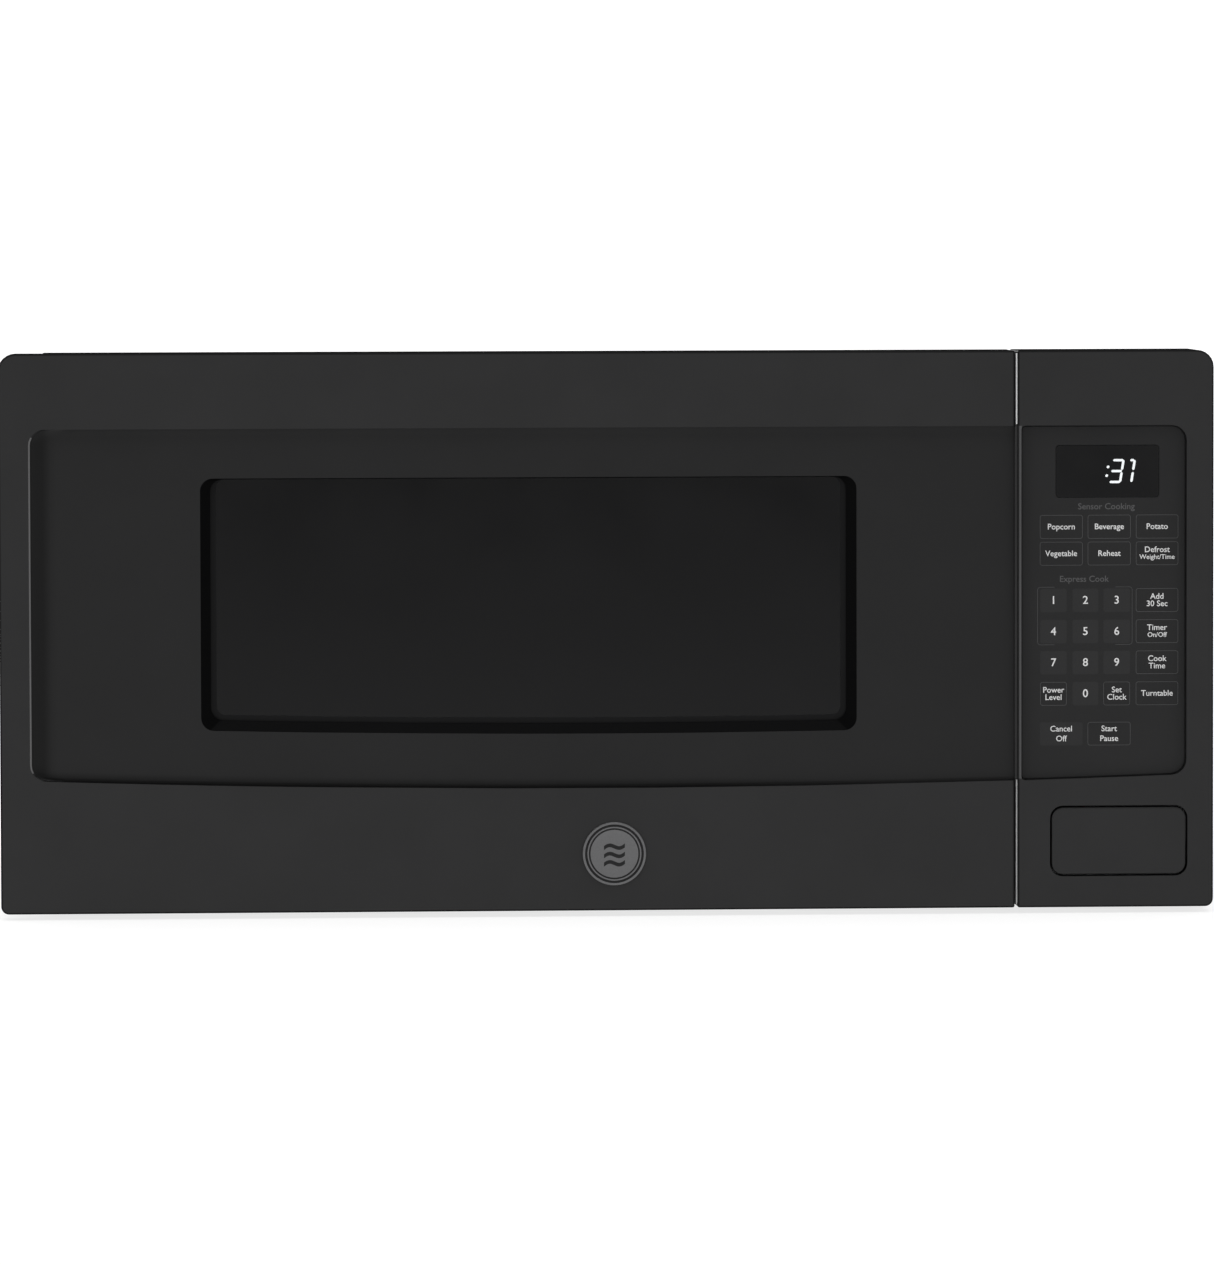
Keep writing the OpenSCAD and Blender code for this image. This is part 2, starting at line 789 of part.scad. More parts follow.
module hinge_pins() {
  shank = tab_t + tab_gap + ear_t + 1;
  color("gainsboro") {
    translate([hinge_x, hinge_y, tab_zs[1] + tab_t]) {
      cylinder(r = pin_r + 1.8, h = pin_head_t);
      translate([0, 0, -shank]) cylinder(r = pin_r, h = shank);
    }
    translate([hinge_x, hinge_y, tab_zs[0]]) {
      translate([0, 0, -pin_head_t]) cylinder(r = pin_r + 1.8, h = pin_head_t);
      cylinder(r = pin_r, h = shank);
    }
  }
}

// Control panel

panel_recess_r = 7.5;

module panel_recess(edge) {
  polygon(smile_points(panel_left + 2 + edge, x_right - border_side + 1.2 - edge,
                       z_low + border_low + edge, z_high - border_top - edge,
                       [2, panel_recess_r, panel_recess_r, 2]));
}

module button_outline(gap) {
  r = button_corner + gap;
  polygon(plate_points(button_left - gap, button_right + gap, button_low - gap,
                       button_low + button_h + gap, [r, r, r, r]));
}

module control_panel_frame() {
  color([0.16, 0.16, 0.17]) {
    difference() {
      slab(y_front, y_plate)
        polygon(plate_points(panel_left, x_right, z_low, z_high, [1, corner_top, corner_low, 1]));
      slab(y_front - cut, y_membrane_floor) panel_recess(0);
      box([panel_left + wall, y_panel_in, z_low + wall],
          [x_right - wall, y_plate + cut, z_high - wall]);
      slab(y_front - cut, y_panel_in + cut) button_outline(button_gap);
      box([display_left, y_recess, display_high - display_h],
          [display_left + display_w, y_panel_in + cut, display_high]);
    }
    difference() {
      box([panel_left + wall, guide_y, stem_z - 14], [x_right - wall, guide_y + guide_t,
          guide_top()]);
      box([stem_x - stem_w / 2 - fit_gap, guide_y - cut, stem_z - stem_w / 2 - fit_gap],
          [stem_x + stem_w / 2 + fit_gap, guide_y + guide_t + cut, stem_z + stem_w / 2 + fit_gap]);
    }
    for (x = [board_left + 5, board_right - 5], z = [board_low + 6, board_high - 6])
      rod_y([x, y_panel_in, z], 3, y_board - y_panel_in);
  }
}

module keypad_membrane() {
  color([0.15, 0.15, 0.16]) difference() {
    slab(y_recess, y_membrane_floor) panel_recess(membrane_edge);
    box([display_left, y_recess - cut, display_high - display_h],
        [display_left + display_w, y_membrane_floor + cut, display_high]);
  }
}

module display_window() {
  color([0.05, 0.05, 0.06]) box(
    [display_left + lens_gap, y_recess, display_high - display_h + lens_gap],
    [display_left + display_w - lens_gap, y_recess + lens_t, display_high - lens_gap]);
}

module display_module() {
  color([0.1, 0.12, 0.12]) difference() {
    box([display_left - 4, y_panel_in + 0.6, display_high - display_h - 4],
        [display_left + display_w + 4, y_board, display_high + 4]);
    box([display_left, y_panel_in, display_high - display_h],
        [display_left + display_w, y_panel_in + 1.4, display_high]);
  }
}

module control_board() {
  color([0.1, 0.35, 0.15]) difference() {
    box([board_left, y_board, board_low], [board_right, y_board + board_t, board_high]);
    for (x = [board_left + 5, board_right - 5], z = [board_low + 6, board_high - 6])
      rod_y([x, y_board - cut, z], 1.6, board_t + 2 * cut);
  }
}

module board_parts() {
  y0 = y_board + board_t;
  color([0.15, 0.15, 0.3]) {
    for (i = [0, 1])
      box([board_left + 10 + 28 * i, y0, board_low + 20],
          [board_left + 32 + 28 * i, y0 + 16, board_low + 45]);
    box([board_left + 12, y0, board_high - 60], [board_left + 48, y0 + 17, board_high - 22]);
    rod_y([board_right - 16, y0, board_low + 70], 6, 14);
    rod_y([board_right - 16, y0, board_low + 88], 5, 12);
    box([board_left + 14, y0, board_low + 62], [board_left + 40, y0 + 4, board_low + 74]);
    box([board_right - 24, y0, board_high - 50], [board_right - 8, y0 + 10, board_high - 20]);
  }
}

button_front = y_front + 0.2;
button_deep = 12;
stem_end = lever_y - lever_tip_r - pad_gap;
nose_l = button_travel + 3;
nose_up = 0.5;

module release_button() {
  color([0.16, 0.16, 0.17]) {
    difference() {
      slab(button_front, button_front + button_deep) button_outline(0);
      box([button_left + button_wall, button_front + button_wall, button_low + button_wall],
          [button_right - button_wall, button_front + button_deep + cut,
           button_low + button_h - button_wall]);
    }
    box([stem_x - stem_w / 2, button_front + button_wall, stem_z - stem_w / 2],
        [stem_x + stem_w / 2, stem_end - nose_l, stem_z + stem_w / 2]);
    box([stem_x - stem_w / 2, stem_end - nose_l, stem_z - stem_w / 2],
        [stem_x + stem_w / 2, stem_end, stem_z + nose_up]);
  }
}

module button_spring() {
  start = button_front + button_wall;
  color("gray") translate([stem_x, start, stem_z]) rotate([-90, 0, 0])
    coil(stem_w * 0.71 + 1, 0.5, 6, guide_y - start);
}

arm_x = stem_x - 3;
pad_root_x = bar_x + hook_w / 2 + slot_side;

module release_lever() {
  color([0.8, 0.8, 0.78]) {
    rod_x([pad_root_x, lever_y, lever_z], lever_shaft_r, arm_x + 6 - pad_root_x);
    box([pad_root_x, lever_y, lever_z - lever_tip_r],
        [pad_root_x + 4, lever_y + pad_arm, lever_z + lever_tip_r]);
    rod_x([bar_x - hook_w / 2 - 1, lever_y + pad_arm, lever_z], lever_tip_r,
          pad_root_x + 4 - bar_x + hook_w / 2 + 1);
    box([arm_x, lever_y - lever_tip_r, lever_z - lever_arm],
        [arm_x + 6, lever_y + lever_tip_r, lever_z]);
    rod_x([arm_x, lever_y, lever_z - lever_arm], lever_tip_r, 6);
  }
}

bearing_xs = [pad_root_x + 8, arm_x - 9];
bearing_w = 6;
bearing_r = 5.5;
board_x0 = cav_right + 11;
board_x1 = arm_x + 14;

module latch_board() {
  y1 = cav_front + latch_t;
  color([0.82, 0.81, 0.76]) difference() {
    union() {
      difference() {
        box([board_x0, cav_front, lever_z - 32], [board_x1, y1, hook_high + 35]);
        hook_slots(cav_front, y1);
        box([stem_x - stem_w / 2 - 1.5, cav_front - cut, stem_z - stem_w / 2 - 3],
            [stem_x + stem_w / 2 + 1.5, y1 + cut, lever_z + 4]);
        box([pad_root_x + 18, cav_front - cut, hook_low + 30],
            [board_x1 - 8, y1 + cut, hook_high - 5]);
      }
      for (h = hook_zs)
        box([bar_x - hook_w / 2 - slot_side - 2, cav_front, h - swing_gap - 8],
            [bar_x + hook_w / 2 + slot_side - 0.5, hook_end - barb_w - 1.5, h - swing_gap]);
      for (x = bearing_xs)
        box([x, cav_front, lever_z - bearing_r], [x + bearing_w, lever_y + bearing_r,
            lever_z + bearing_r]);
    }
    rod_x([bearing_xs[0] - cut, lever_y, lever_z], lever_shaft_r + run_gap,
          arm_x - bearing_xs[0] + cut);
  }
}

switch_w = 10;

module interlock_switches() {
  color([0.1, 0.1, 0.1]) for (h = hook_zs) {
    y0 = hook_end + 3;
    x0 = bar_x - hook_w / 2 - slot_side - 2 - switch_w;
    box([x0 - 0.2, cav_front + latch_t, h - 8], [x0 + switch_w - 0.2, y0 + 13, h + 20]);
    box([x0 + switch_w - 0.2, y0, h - 8], [x0 + 2 * switch_w, y0 + 13, h + 20]);
    box([x0 + switch_w + 3, y0 - 2, h + 6], [x0 + switch_w + 6, y0, h + 11]);
  }
}

// Turntable

module turntable_motor() {
  color("lightgray") difference() {
    union() {
      translate([cav_x, cav_y, cav_floor - sheet - 18]) cylinder(r = 24, h = 18);
      box([cav_x - 34, cav_y - 7, cav_floor - sheet - 1.5],
          [cav_x + 34, cav_y + 7, cav_floor - sheet]);
    }
    translate([cav_x, cav_y, shaft_low - 0.5])
      cylinder(r = shaft_r + run_gap, h = 20);
  }
}

module drive_shaft() {
  color("silver") translate([cav_x, cav_y, shaft_low])
    cylinder(r = shaft_r, h = shaft_top - shaft_low);
}

module drive_coupler() {
  arm_l = lug_circle_r + 8;
  color([0.85, 0.85, 0.82]) translate([cav_x, cav_y, coupler_z]) difference() {
    union() {
      cylinder(r = hub_r, h = tray_z - coupler_z - 0.4);
      for (i = [0:2]) rotate([0, 0, 120 * i])
        box([0, -4, tray_z - coupler_z - 7], [arm_l, 4, tray_z - coupler_z - 0.4]);
    }
    translate([0, 0, -cut]) cylinder(r = shaft_r + 0.02, h = shaft_top - coupler_z + cut);
  }
}

module turntable_tray() {
  color([0.8, 0.9, 0.9, 0.4]) translate([cav_x, cav_y, 0]) {
    rotate_extrude($fn = 180) polygon([
      [0, tray_z], [tray_r - 12, tray_z], [tray_r - 4, tray_z + 4], [tray_r, tray_z + 13],
      [tray_r - 4, tray_z + 13], [tray_r - 8, tray_z + 7.5],
      [tray_r - 14, tray_z + tray_t], [0, tray_z + tray_t]]);
    for (i = [0:2]) rotate([0, 0, 120 * i + 60])
      translate([lug_circle_r, 0, tray_z - 5]) cylinder(r = lug_r, h = 6);
  }
}

ring_out = track_r - roller_w / 2 - 1.2;

module roller_ring() {
  color([0.82, 0.82, 0.8]) translate([cav_x, cav_y, roller_z]) {
    difference() {
      translate([0, 0, -3]) cylinder(r = ring_out, h = 6, $fn = 180);
      translate([0, 0, -3 - cut]) cylinder(r = ring_out - 9, h = 6 + 2 * cut, $fn = 180);
    }
    for (i = [0:roller_count - 1]) rotate([0, 0, 360 / roller_count * i + 90]) {
      rod_x([ring_out - 2, 0, 0], axle_r, roller_w + 5);
      rod_x([ring_out + roller_w + 1.9, 0, 0], axle_r + 1.5, 1.5);
    }
  }
}

module roller(i) {
  color([0.9, 0.9, 0.88]) translate([cav_x, cav_y, roller_z])
    rotate([0, 0, 360 / roller_count * i + 90]) difference() {
      rod_x([track_r - roller_w / 2, 0, 0], roller_r, roller_w);
      rod_x([track_r - roller_w / 2 - cut, 0, 0], axle_r + run_gap, roller_w + 2 * cut);
    }
}

// Microwave generator

module magnetron_yoke() {
  y0 = mag_back - mag_l;
  color("silver") difference() {
    box([mag_x, y0, mag_z - mag_h / 2], [mag_x + mag_w, mag_back, mag_z + mag_h / 2]);
    box([mag_x + mag_wall, y0 - cut, mag_z - mag_h / 2 + mag_wall],
        [mag_x + mag_w - mag_wall, mag_back + cut, mag_z + mag_h / 2 - mag_wall]);
    rod_x([mag_x - cut, mag_y, mag_z], antenna_r, mag_w + 2 * cut);
  }
}

fin_count = 6;
anode_r = 19;

module magnetron_fins() {
  x0 = mag_x + mag_wall + 9;
  x1 = mag_x + mag_w - mag_wall - 9;
  pitch = (x1 - x0) / fin_count;
  color("gainsboro") {
    rod_x([mag_x + mag_wall, mag_y, mag_z], anode_r, mag_w - 2 * mag_wall);
    for (i = [0:fin_count])
      box([x0 + pitch * i - 0.4, mag_y - 38, mag_z - mag_h / 2 + mag_wall],
          [x0 + pitch * i + 0.4, mag_y + 38, mag_z + mag_h / 2 - mag_wall]);
  }
}

module magnetron_antenna() {
  color([0.8, 0.5, 0.35]) {
    rod_x([mag_x - 20, mag_y, mag_z], antenna_r - 2.5, 20 + mag_wall);
    rod_x([mag_x - 24, mag_y, mag_z], antenna_r - 4, 4);
  }
}

filter_w = side_in - (mag_x + mag_w) - 12;

module magnetron_filter_box() {
  x0 = mag_x + mag_w;
  color("silver") {
    tube_y(x0, x0 + filter_w, mag_z - 28, mag_z + 28, mag_y - 30, mag_y + 30, 1);
    box([x0 + filter_w, mag_y - 10, mag_z - 12], [x0 + filter_w + 4, mag_y + 10, mag_z + 12]);
  }
}

module magnetron_thermostat() {
  color([0.2, 0.2, 0.2]) translate([mag_x + 20, mag_y, mag_z + mag_h / 2]) {
    cylinder(r = thermostat_r, h = 7);
    for (s = [-1, 1]) box([s * 4 - 0.4, -3, 7], [s * 4 + 0.4, 3, 13]);
  }
}

module transformer_core() {
  mid = core_x + core_w / 2;
  low = base_top + 26;
  high = base_top + core_h - 10;
  color([0.35, 0.33, 0.32]) {
    difference() {
      box([core_x, core_y + 14, base_top], [core_x + core_w, core_y + core_l - 14,
          base_top + core_h]);
      for (s = [0, 1])
        box([s > 0 ? mid + core_leg / 2 : core_x + core_leg / 2, core_y, low],
            [s > 0 ? core_x + core_w - core_leg / 2 : mid - core_leg / 2, core_y + core_l, high]);
    }
    box([core_x - 8, core_y + 20, base_top], [core_x, core_y + core_l - 20, base_top + 2]);
    box([core_x + core_w, core_y + 20, base_top],
        [core_x + core_w + 5, core_y + core_l - 20, base_top + 2]);
  }
}

module transformer_coils() {
  mid = core_x + core_w / 2;
  low = base_top + 26;
  high = base_top + core_h - 10;
  split = (low + high) / 2;
  out = core_w / 2 - core_leg / 2 - 1;
  color([0.7, 0.35, 0.15]) for (zz = [[low + 0.5, split - 2], [split + 2, high - 0.5]])
    difference() {
      box([mid - out, core_y, zz[0]], [mid + out, core_y + core_l, zz[1]]);
      box([mid - core_leg / 2 - 0.5, core_y + 13.5, zz[0] - cut],
          [mid + core_leg / 2 + 0.5, core_y + core_l - 13.5, zz[1] + cut]);
    }
}

// Flat-sided round outline of the capacitor can
module can_outline(e) {
  r = can_w / 2 + e;
  for (s = [-1, 1]) translate([can_x, can_y + s * (can_l - can_w) / 2]) circle(r = r);
  translate([can_x - r, can_y - (can_l - can_w) / 2]) square([2 * r, can_l - can_w]);
}

module capacitor() {
  color("silver") {
    translate([0, 0, base_top]) linear_extrude(can_h) can_outline(0);
    for (s = [-1, 1])
      translate([can_x, can_y + s * 12, base_top + can_h]) cylinder(r = 4, h = 4);
    for (s = [-1, 1])
      box([can_x - 3, can_y + s * 12 - 0.4, base_top + can_h + 4],
          [can_x + 3, can_y + s * 12 + 0.4, base_top + can_h + 11]);
  }
}

module capacitor_clamp() {
  color("lightgray") {
    translate([0, 0, base_top + 30]) linear_extrude(12) difference() {
      can_outline(1);
      can_outline(0);
    }
    box([can_x + can_w / 2 + 1, can_y - 8, base_top], [can_x + can_w / 2 + 2, can_y + 8,
        base_top + 42]);
    box([can_x + can_w / 2 + 2, can_y - 8, base_top], [can_x + can_w / 2 + 16, can_y + 8,
        base_top + 1]);
  }
}

filter_x = cav_right - 110;
filter_y = cav_back - 110;
filter_z = cav_roof + sheet + 5;

module line_filter_board() {
  color([0.1, 0.4, 0.18]) {
    box([filter_x, filter_y, filter_z], [filter_x + 90, filter_y + 60, filter_z + 1.6]);
    for (x = [6, 84], y = [6, 54])
      translate([filter_x + x, filter_y + y, cav_roof + sheet])
        cylinder(r = 3, h = filter_z - cav_roof - sheet);
    difference() {
      translate([filter_x + 62, filter_y + 34, filter_z + 1.6]) cylinder(r = 15, h = 10);
      translate([filter_x + 62, filter_y + 34, filter_z + 1.6]) cylinder(r = 8, h = 12);
    }
    box([filter_x + 10, filter_y + 34, filter_z + 1.6],
        [filter_x + 38, filter_y + 50, filter_z + 13]);
    for (x = [0, 24])
      box([filter_x + 10 + x, filter_y + 10, filter_z + 1.6],
          [filter_x + 14 + x, filter_y + 20, filter_z + 8]);
  }
}

module line_fuse() {
  z0 = filter_z + 11;
  color("whitesmoke") rod_x([filter_x + 6, filter_y + 15, z0], 3, 36);
}

// Cooling fan

module fan_shroud() {
  half = fan_size / 2;
  color([0.2, 0.2, 0.22]) {
    difference() {
      box([works_x - half, fan_y, fan_z - half], [works_x + half, back_in, fan_z + half]);
      rod_y([works_x, fan_y + spoke_t, fan_z], fan_bore_r, fan_t);
      difference() {
        rod_y([works_x, fan_y - cut, fan_z], fan_bore_r, spoke_t + 2 * cut);
        box([works_x - half, fan_y - 2 * cut, fan_z - 5], [works_x + half, fan_y + fan_t,
            fan_z + 5]);
        box([works_x - 5, fan_y - 2 * cut, fan_z - half], [works_x + 5, fan_y + fan_t,
            fan_z + half]);
        rod_y([works_x, fan_y - 2 * cut, fan_z], 14, fan_t);
      }
      rod_y([works_x, fan_y - cut, fan_z], fan_shaft_r + 1, spoke_t + 2 * cut);
    }
  }
}

module fan_motor() {
  half = fan_motor_w / 2;
  y0 = fan_y - fan_motor_l;
  color([0.45, 0.4, 0.38]) difference() {
    union() {
      box([works_x - half, y0 + 10, fan_z - half], [works_x + half, y0 + 24, fan_z + half]);
      rod_y([works_x, y0, fan_z], 16, fan_motor_l);
    }
    rod_y([works_x, y0 + 4, fan_z], fan_shaft_r + run_gap, fan_motor_l);
  }
}

shaft_y = fan_y - fan_motor_l + 6;

module fan_shaft() {
  color("silver") rod_y([works_x, shaft_y, fan_z], fan_shaft_r, fan_y + fan_t - 6 - shaft_y);
}

blade_count = 5;
blade_pitch = 28;

module fan_blade() {
  y0 = fan_y + spoke_t + 3;
  deep = fan_t - spoke_t - 7;
  color([0.85, 0.85, 0.85]) difference() {
    union() {
      rod_y([works_x, y0, fan_z], 13, deep);
      translate([works_x, y0 + deep / 2, fan_z]) intersection() {
        for (i = [0:blade_count - 1]) rotate([0, 360 / blade_count * i, 0])
          translate([30, 0, 0]) rotate([blade_pitch, 0, 0])
            cube([44, 1.4, 26], center = true);
        rod_y([0, -deep / 2, 0], fan_blade_r, deep);
      }
    }
    rod_y([works_x, y0 - cut, fan_z], fan_shaft_r + 0.02, fan_y + fan_t - 6 - y0 + cut);
  }
}

outer_cabinet();
rear_panel();
base_plate();
feet();
cabinet_screws();
mounting_nuts();
cord_bush();
front_plate();
oven_cavity();
waveguide();
waveguide_cover();
lamp_socket();
oven_lamp();
cavity_thermostat();
humidity_sensor();
door_skin();
door_window();
door_frame();
door_screen();
inner_window();
choke_cover();
door_badge();
latch_hooks();
latch_spring();
hinge_brackets();
hinge_pins();
control_panel_frame();
keypad_membrane();
display_window();
display_module();
control_board();
board_parts();
release_button();
button_spring();
release_lever();
latch_board();
interlock_switches();
turntable_motor();
drive_shaft();
drive_coupler();
turntable_tray();
roller_ring();
roller(0);  // roller_1
roller(1);  // roller_2
roller(2);  // roller_3
magnetron_yoke();
magnetron_fins();
magnetron_antenna();
magnetron_filter_box();
magnetron_thermostat();
transformer_core();
transformer_coils();
capacitor();
capacitor_clamp();
line_filter_board();
line_fuse();
fan_shroud();
fan_motor();
fan_shaft();
fan_blade();
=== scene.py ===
"""Looks of the countertop microwave oven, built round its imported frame."""

import json
import math

import bmesh
import bpy
from mathutils import Euler, Matrix, Vector


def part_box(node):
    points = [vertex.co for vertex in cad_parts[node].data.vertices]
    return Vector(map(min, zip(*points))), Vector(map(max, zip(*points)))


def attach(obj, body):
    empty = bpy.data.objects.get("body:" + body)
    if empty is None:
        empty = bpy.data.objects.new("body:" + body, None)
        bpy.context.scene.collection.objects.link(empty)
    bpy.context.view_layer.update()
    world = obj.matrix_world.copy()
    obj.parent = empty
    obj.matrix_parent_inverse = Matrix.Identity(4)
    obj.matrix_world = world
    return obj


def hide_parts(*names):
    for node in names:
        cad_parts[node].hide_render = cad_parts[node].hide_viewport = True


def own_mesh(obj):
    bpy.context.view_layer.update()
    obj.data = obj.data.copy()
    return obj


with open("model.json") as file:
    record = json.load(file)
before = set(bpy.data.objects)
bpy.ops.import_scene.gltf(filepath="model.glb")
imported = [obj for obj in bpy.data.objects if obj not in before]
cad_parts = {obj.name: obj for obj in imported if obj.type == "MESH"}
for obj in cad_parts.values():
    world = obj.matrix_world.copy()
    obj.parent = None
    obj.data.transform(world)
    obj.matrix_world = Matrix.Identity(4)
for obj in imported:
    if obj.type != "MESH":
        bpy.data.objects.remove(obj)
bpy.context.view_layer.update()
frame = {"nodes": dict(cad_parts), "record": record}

NODES = frame["nodes"]
MM = 0.001

# Door and control panel, from the frame
DOOR_LOW, DOOR_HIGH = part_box("door_skin")
PANEL_LOW, PANEL_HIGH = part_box("control_panel_frame")
PANE_LOW, PANE_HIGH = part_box("door_window")
SHEET_LOW, SHEET_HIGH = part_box("keypad_membrane")
LENS_LOW, LENS_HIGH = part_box("display_window")
BUTTON_LOW, BUTTON_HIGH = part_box("release_button")
BADGE_LOW, BADGE_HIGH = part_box("door_badge")
LEFT, DOOR_RIGHT, RIGHT = DOOR_LOW.x, DOOR_HIGH.x, PANEL_HIGH.x
BOTTOM, TOP = DOOR_LOW.z, DOOR_HIGH.z
FRONT = DOOR_LOW.y
RECESS = SHEET_LOW.y
PANE_FRONT, PANE_BACK = PANE_LOW.y, PANE_HIGH.y
BEVEL_FLOOR = PANE_FRONT - 1.5 * MM
SAME = 0.02 * MM  # places this close count as one, and prints sink in this far

# Mouldings
WALL = 2.5 * MM
SMILE_R = 8125 * MM
SMILE_SIDES = 2048
BORDER_TOP = 38 * MM
BORDER_LOW = 62 * MM
BORDER_SIDE = 15 * MM
RECESS_CORNER = 8 * MM
COVE_W = 13 * MM
COVE_ANGLES = (22, 36, 50, 63, 76, 90)
CHAMFER = 0.8 * MM
CORNER_TOP = 8.5 * MM
CORNER_LOW = 4 * MM
RIM = 2.4 * MM
EDGE = 0.45 * MM
WINDOW_CORNER = 6.3 * MM
WINDOW_BEVEL = 5 * MM
PANE_LIP = 3.3 * MM
BAND_W = 3 * MM
PRINT = 0.05 * MM
BOSS_W = 8 * MM
SEAT_GAP = 0.2 * MM
HINGE_CUT = Vector((22.3, 0, 15.2)) * MM
PAST = 2 * MM  # how far a cutting tool stands out of its work
FIRST_STEP = 0.3 * MM
CORNER_REACH = 9.5 * MM


# ---------------------------------------------------------------- hand tools

def deselect():
    if bpy.context.object and bpy.context.object.mode != "OBJECT":
        bpy.ops.object.mode_set(mode="OBJECT")
    bpy.ops.object.select_all(action="DESELECT")


def hold(piece):
    deselect()
    piece.select_set(True)
    bpy.context.view_layer.objects.active = piece


def settle(name):
    """Names the new primitive and puts its place in its mesh."""
    piece = bpy.context.object
    piece.name = piece.data.name = name
    bpy.ops.object.transform_apply(location=True, rotation=True, scale=True)
    return piece


def block(name, low, high):
    low, high = Vector(low), Vector(high)
    deselect()
    bpy.ops.mesh.primitive_cube_add(size=1, location=(low + high) / 2)
    bpy.context.object.scale = high - low
    return settle(name)


def rod(name, start, radius, length, sides):
    """Round bar from start along +Y."""
    deselect()
    bpy.ops.mesh.primitive_cylinder_add(
        vertices=sides, radius=radius, depth=length,
        location=Vector(start) + Vector((0, length / 2, 0)), rotation=(math.pi / 2, 0, 0))
    return settle(name)


def choose(piece, kind, test):
    """Edit mode with only the faces, edges or points that pass the test selected."""
    hold(piece)
    bpy.ops.object.mode_set(mode="EDIT")
    bpy.ops.mesh.select_mode(type=kind)
    bpy.ops.mesh.select_all(action="DESELECT")
    shape = bmesh.from_edit_mesh(piece.data)
    shape.normal_update()
    found = {"VERT": shape.verts, "EDGE": shape.edges, "FACE": shape.faces}[kind]
    for part in found:
        part.select_set(test(part))
    shape.select_flush_mode()
    bmesh.update_edit_mesh(piece.data)


def done():
    bpy.ops.object.mode_set(mode="OBJECT")


def runs_back(edge):
    """True for an edge that runs from front to back."""
    return abs((edge.verts[1].co - edge.verts[0].co).normalized().y) > 0.999


def near(a, b):
    return abs(a - b) < SAME


def round_edges(piece, test, radius, steps=6):
    choose(piece, "EDGE", test)
    bpy.ops.mesh.bevel(offset=radius, offset_type="OFFSET", segments=steps, profile=0.5,
                       affect="EDGES", clamp_overlap=True)
    done()


def round_front(piece, y, radius, steps=4):
    """Rounds every edge that lies in the plane y."""
    round_edges(piece, lambda e: all(near(v.co.y, y) for v in e.verts), radius, steps)


def add_modifier(piece, kind, **values):
    hold(piece)
    modifier = piece.modifiers.new("m", kind)
    for key, value in values.items():
        setattr(modifier, key, value)
    bpy.ops.object.modifier_apply(modifier=modifier.name)


def combine(piece, tool, how="DIFFERENCE"):
    add_modifier(piece, "BOOLEAN", object=tool, operation=how, solver="EXACT")
    bpy.data.objects.remove(tool)
    return piece


def cut_away(piece, tool):
    return combine(piece, tool)


def fuse(piece, tool):
    return combine(piece, tool, "UNION")


def join(name, parts):
    hold(parts[0])
    for part in parts[1:]:
        part.select_set(True)
    if len(parts) > 1:
        bpy.ops.object.join()
    parts[0].name = parts[0].data.name = name
    return parts[0]


def tidy_flats(piece):
    """Merges stray points and flat slivers that a cut leaves."""
    hold(piece)
    bpy.ops.object.mode_set(mode="EDIT")
    bpy.ops.mesh.select_all(action="SELECT")
    bpy.ops.mesh.remove_doubles(threshold=0.01 * MM)
    bpy.ops.mesh.dissolve_limited(angle_limit=math.radians(0.4))
    done()


def soften(piece, width=EDGE, steps=2, angle=35):
    """Breaks every sharp edge and shades the piece."""
    add_modifier(piece, "BEVEL", width=width, segments=steps, limit_method="ANGLE",
                 angle_limit=math.radians(angle), use_clamp_overlap=True,
                 miter_outer="MITER_ARC", harden_normals=False)
    shade(piece)


def shade(piece, angle=50):
    hold(piece)
    bpy.ops.object.shade_smooth_by_angle(angle=math.radians(angle))
    add_modifier(piece, "WEIGHTED_NORMAL", keep_sharp=True, weight=80)


def finish(piece, material, body, slot, *nodes):
    """Gives a piece its material and its body, and hides the CAD nodes it stands for. Its slot is
    not used.
    """
    piece.data.materials.clear()
    piece.data.materials.append(material)
    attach(piece, body)
    if nodes:
        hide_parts(*nodes)


def paint_faces(piece, material, test):
    """Gives the faces that pass the test a material of their own."""
    piece.data.materials.append(material)
    index = len(piece.data.materials) - 1
    for face in piece.data.polygons:
        if test(face):
            face.material_index = index


# ---------------------------------------------------------------- materials

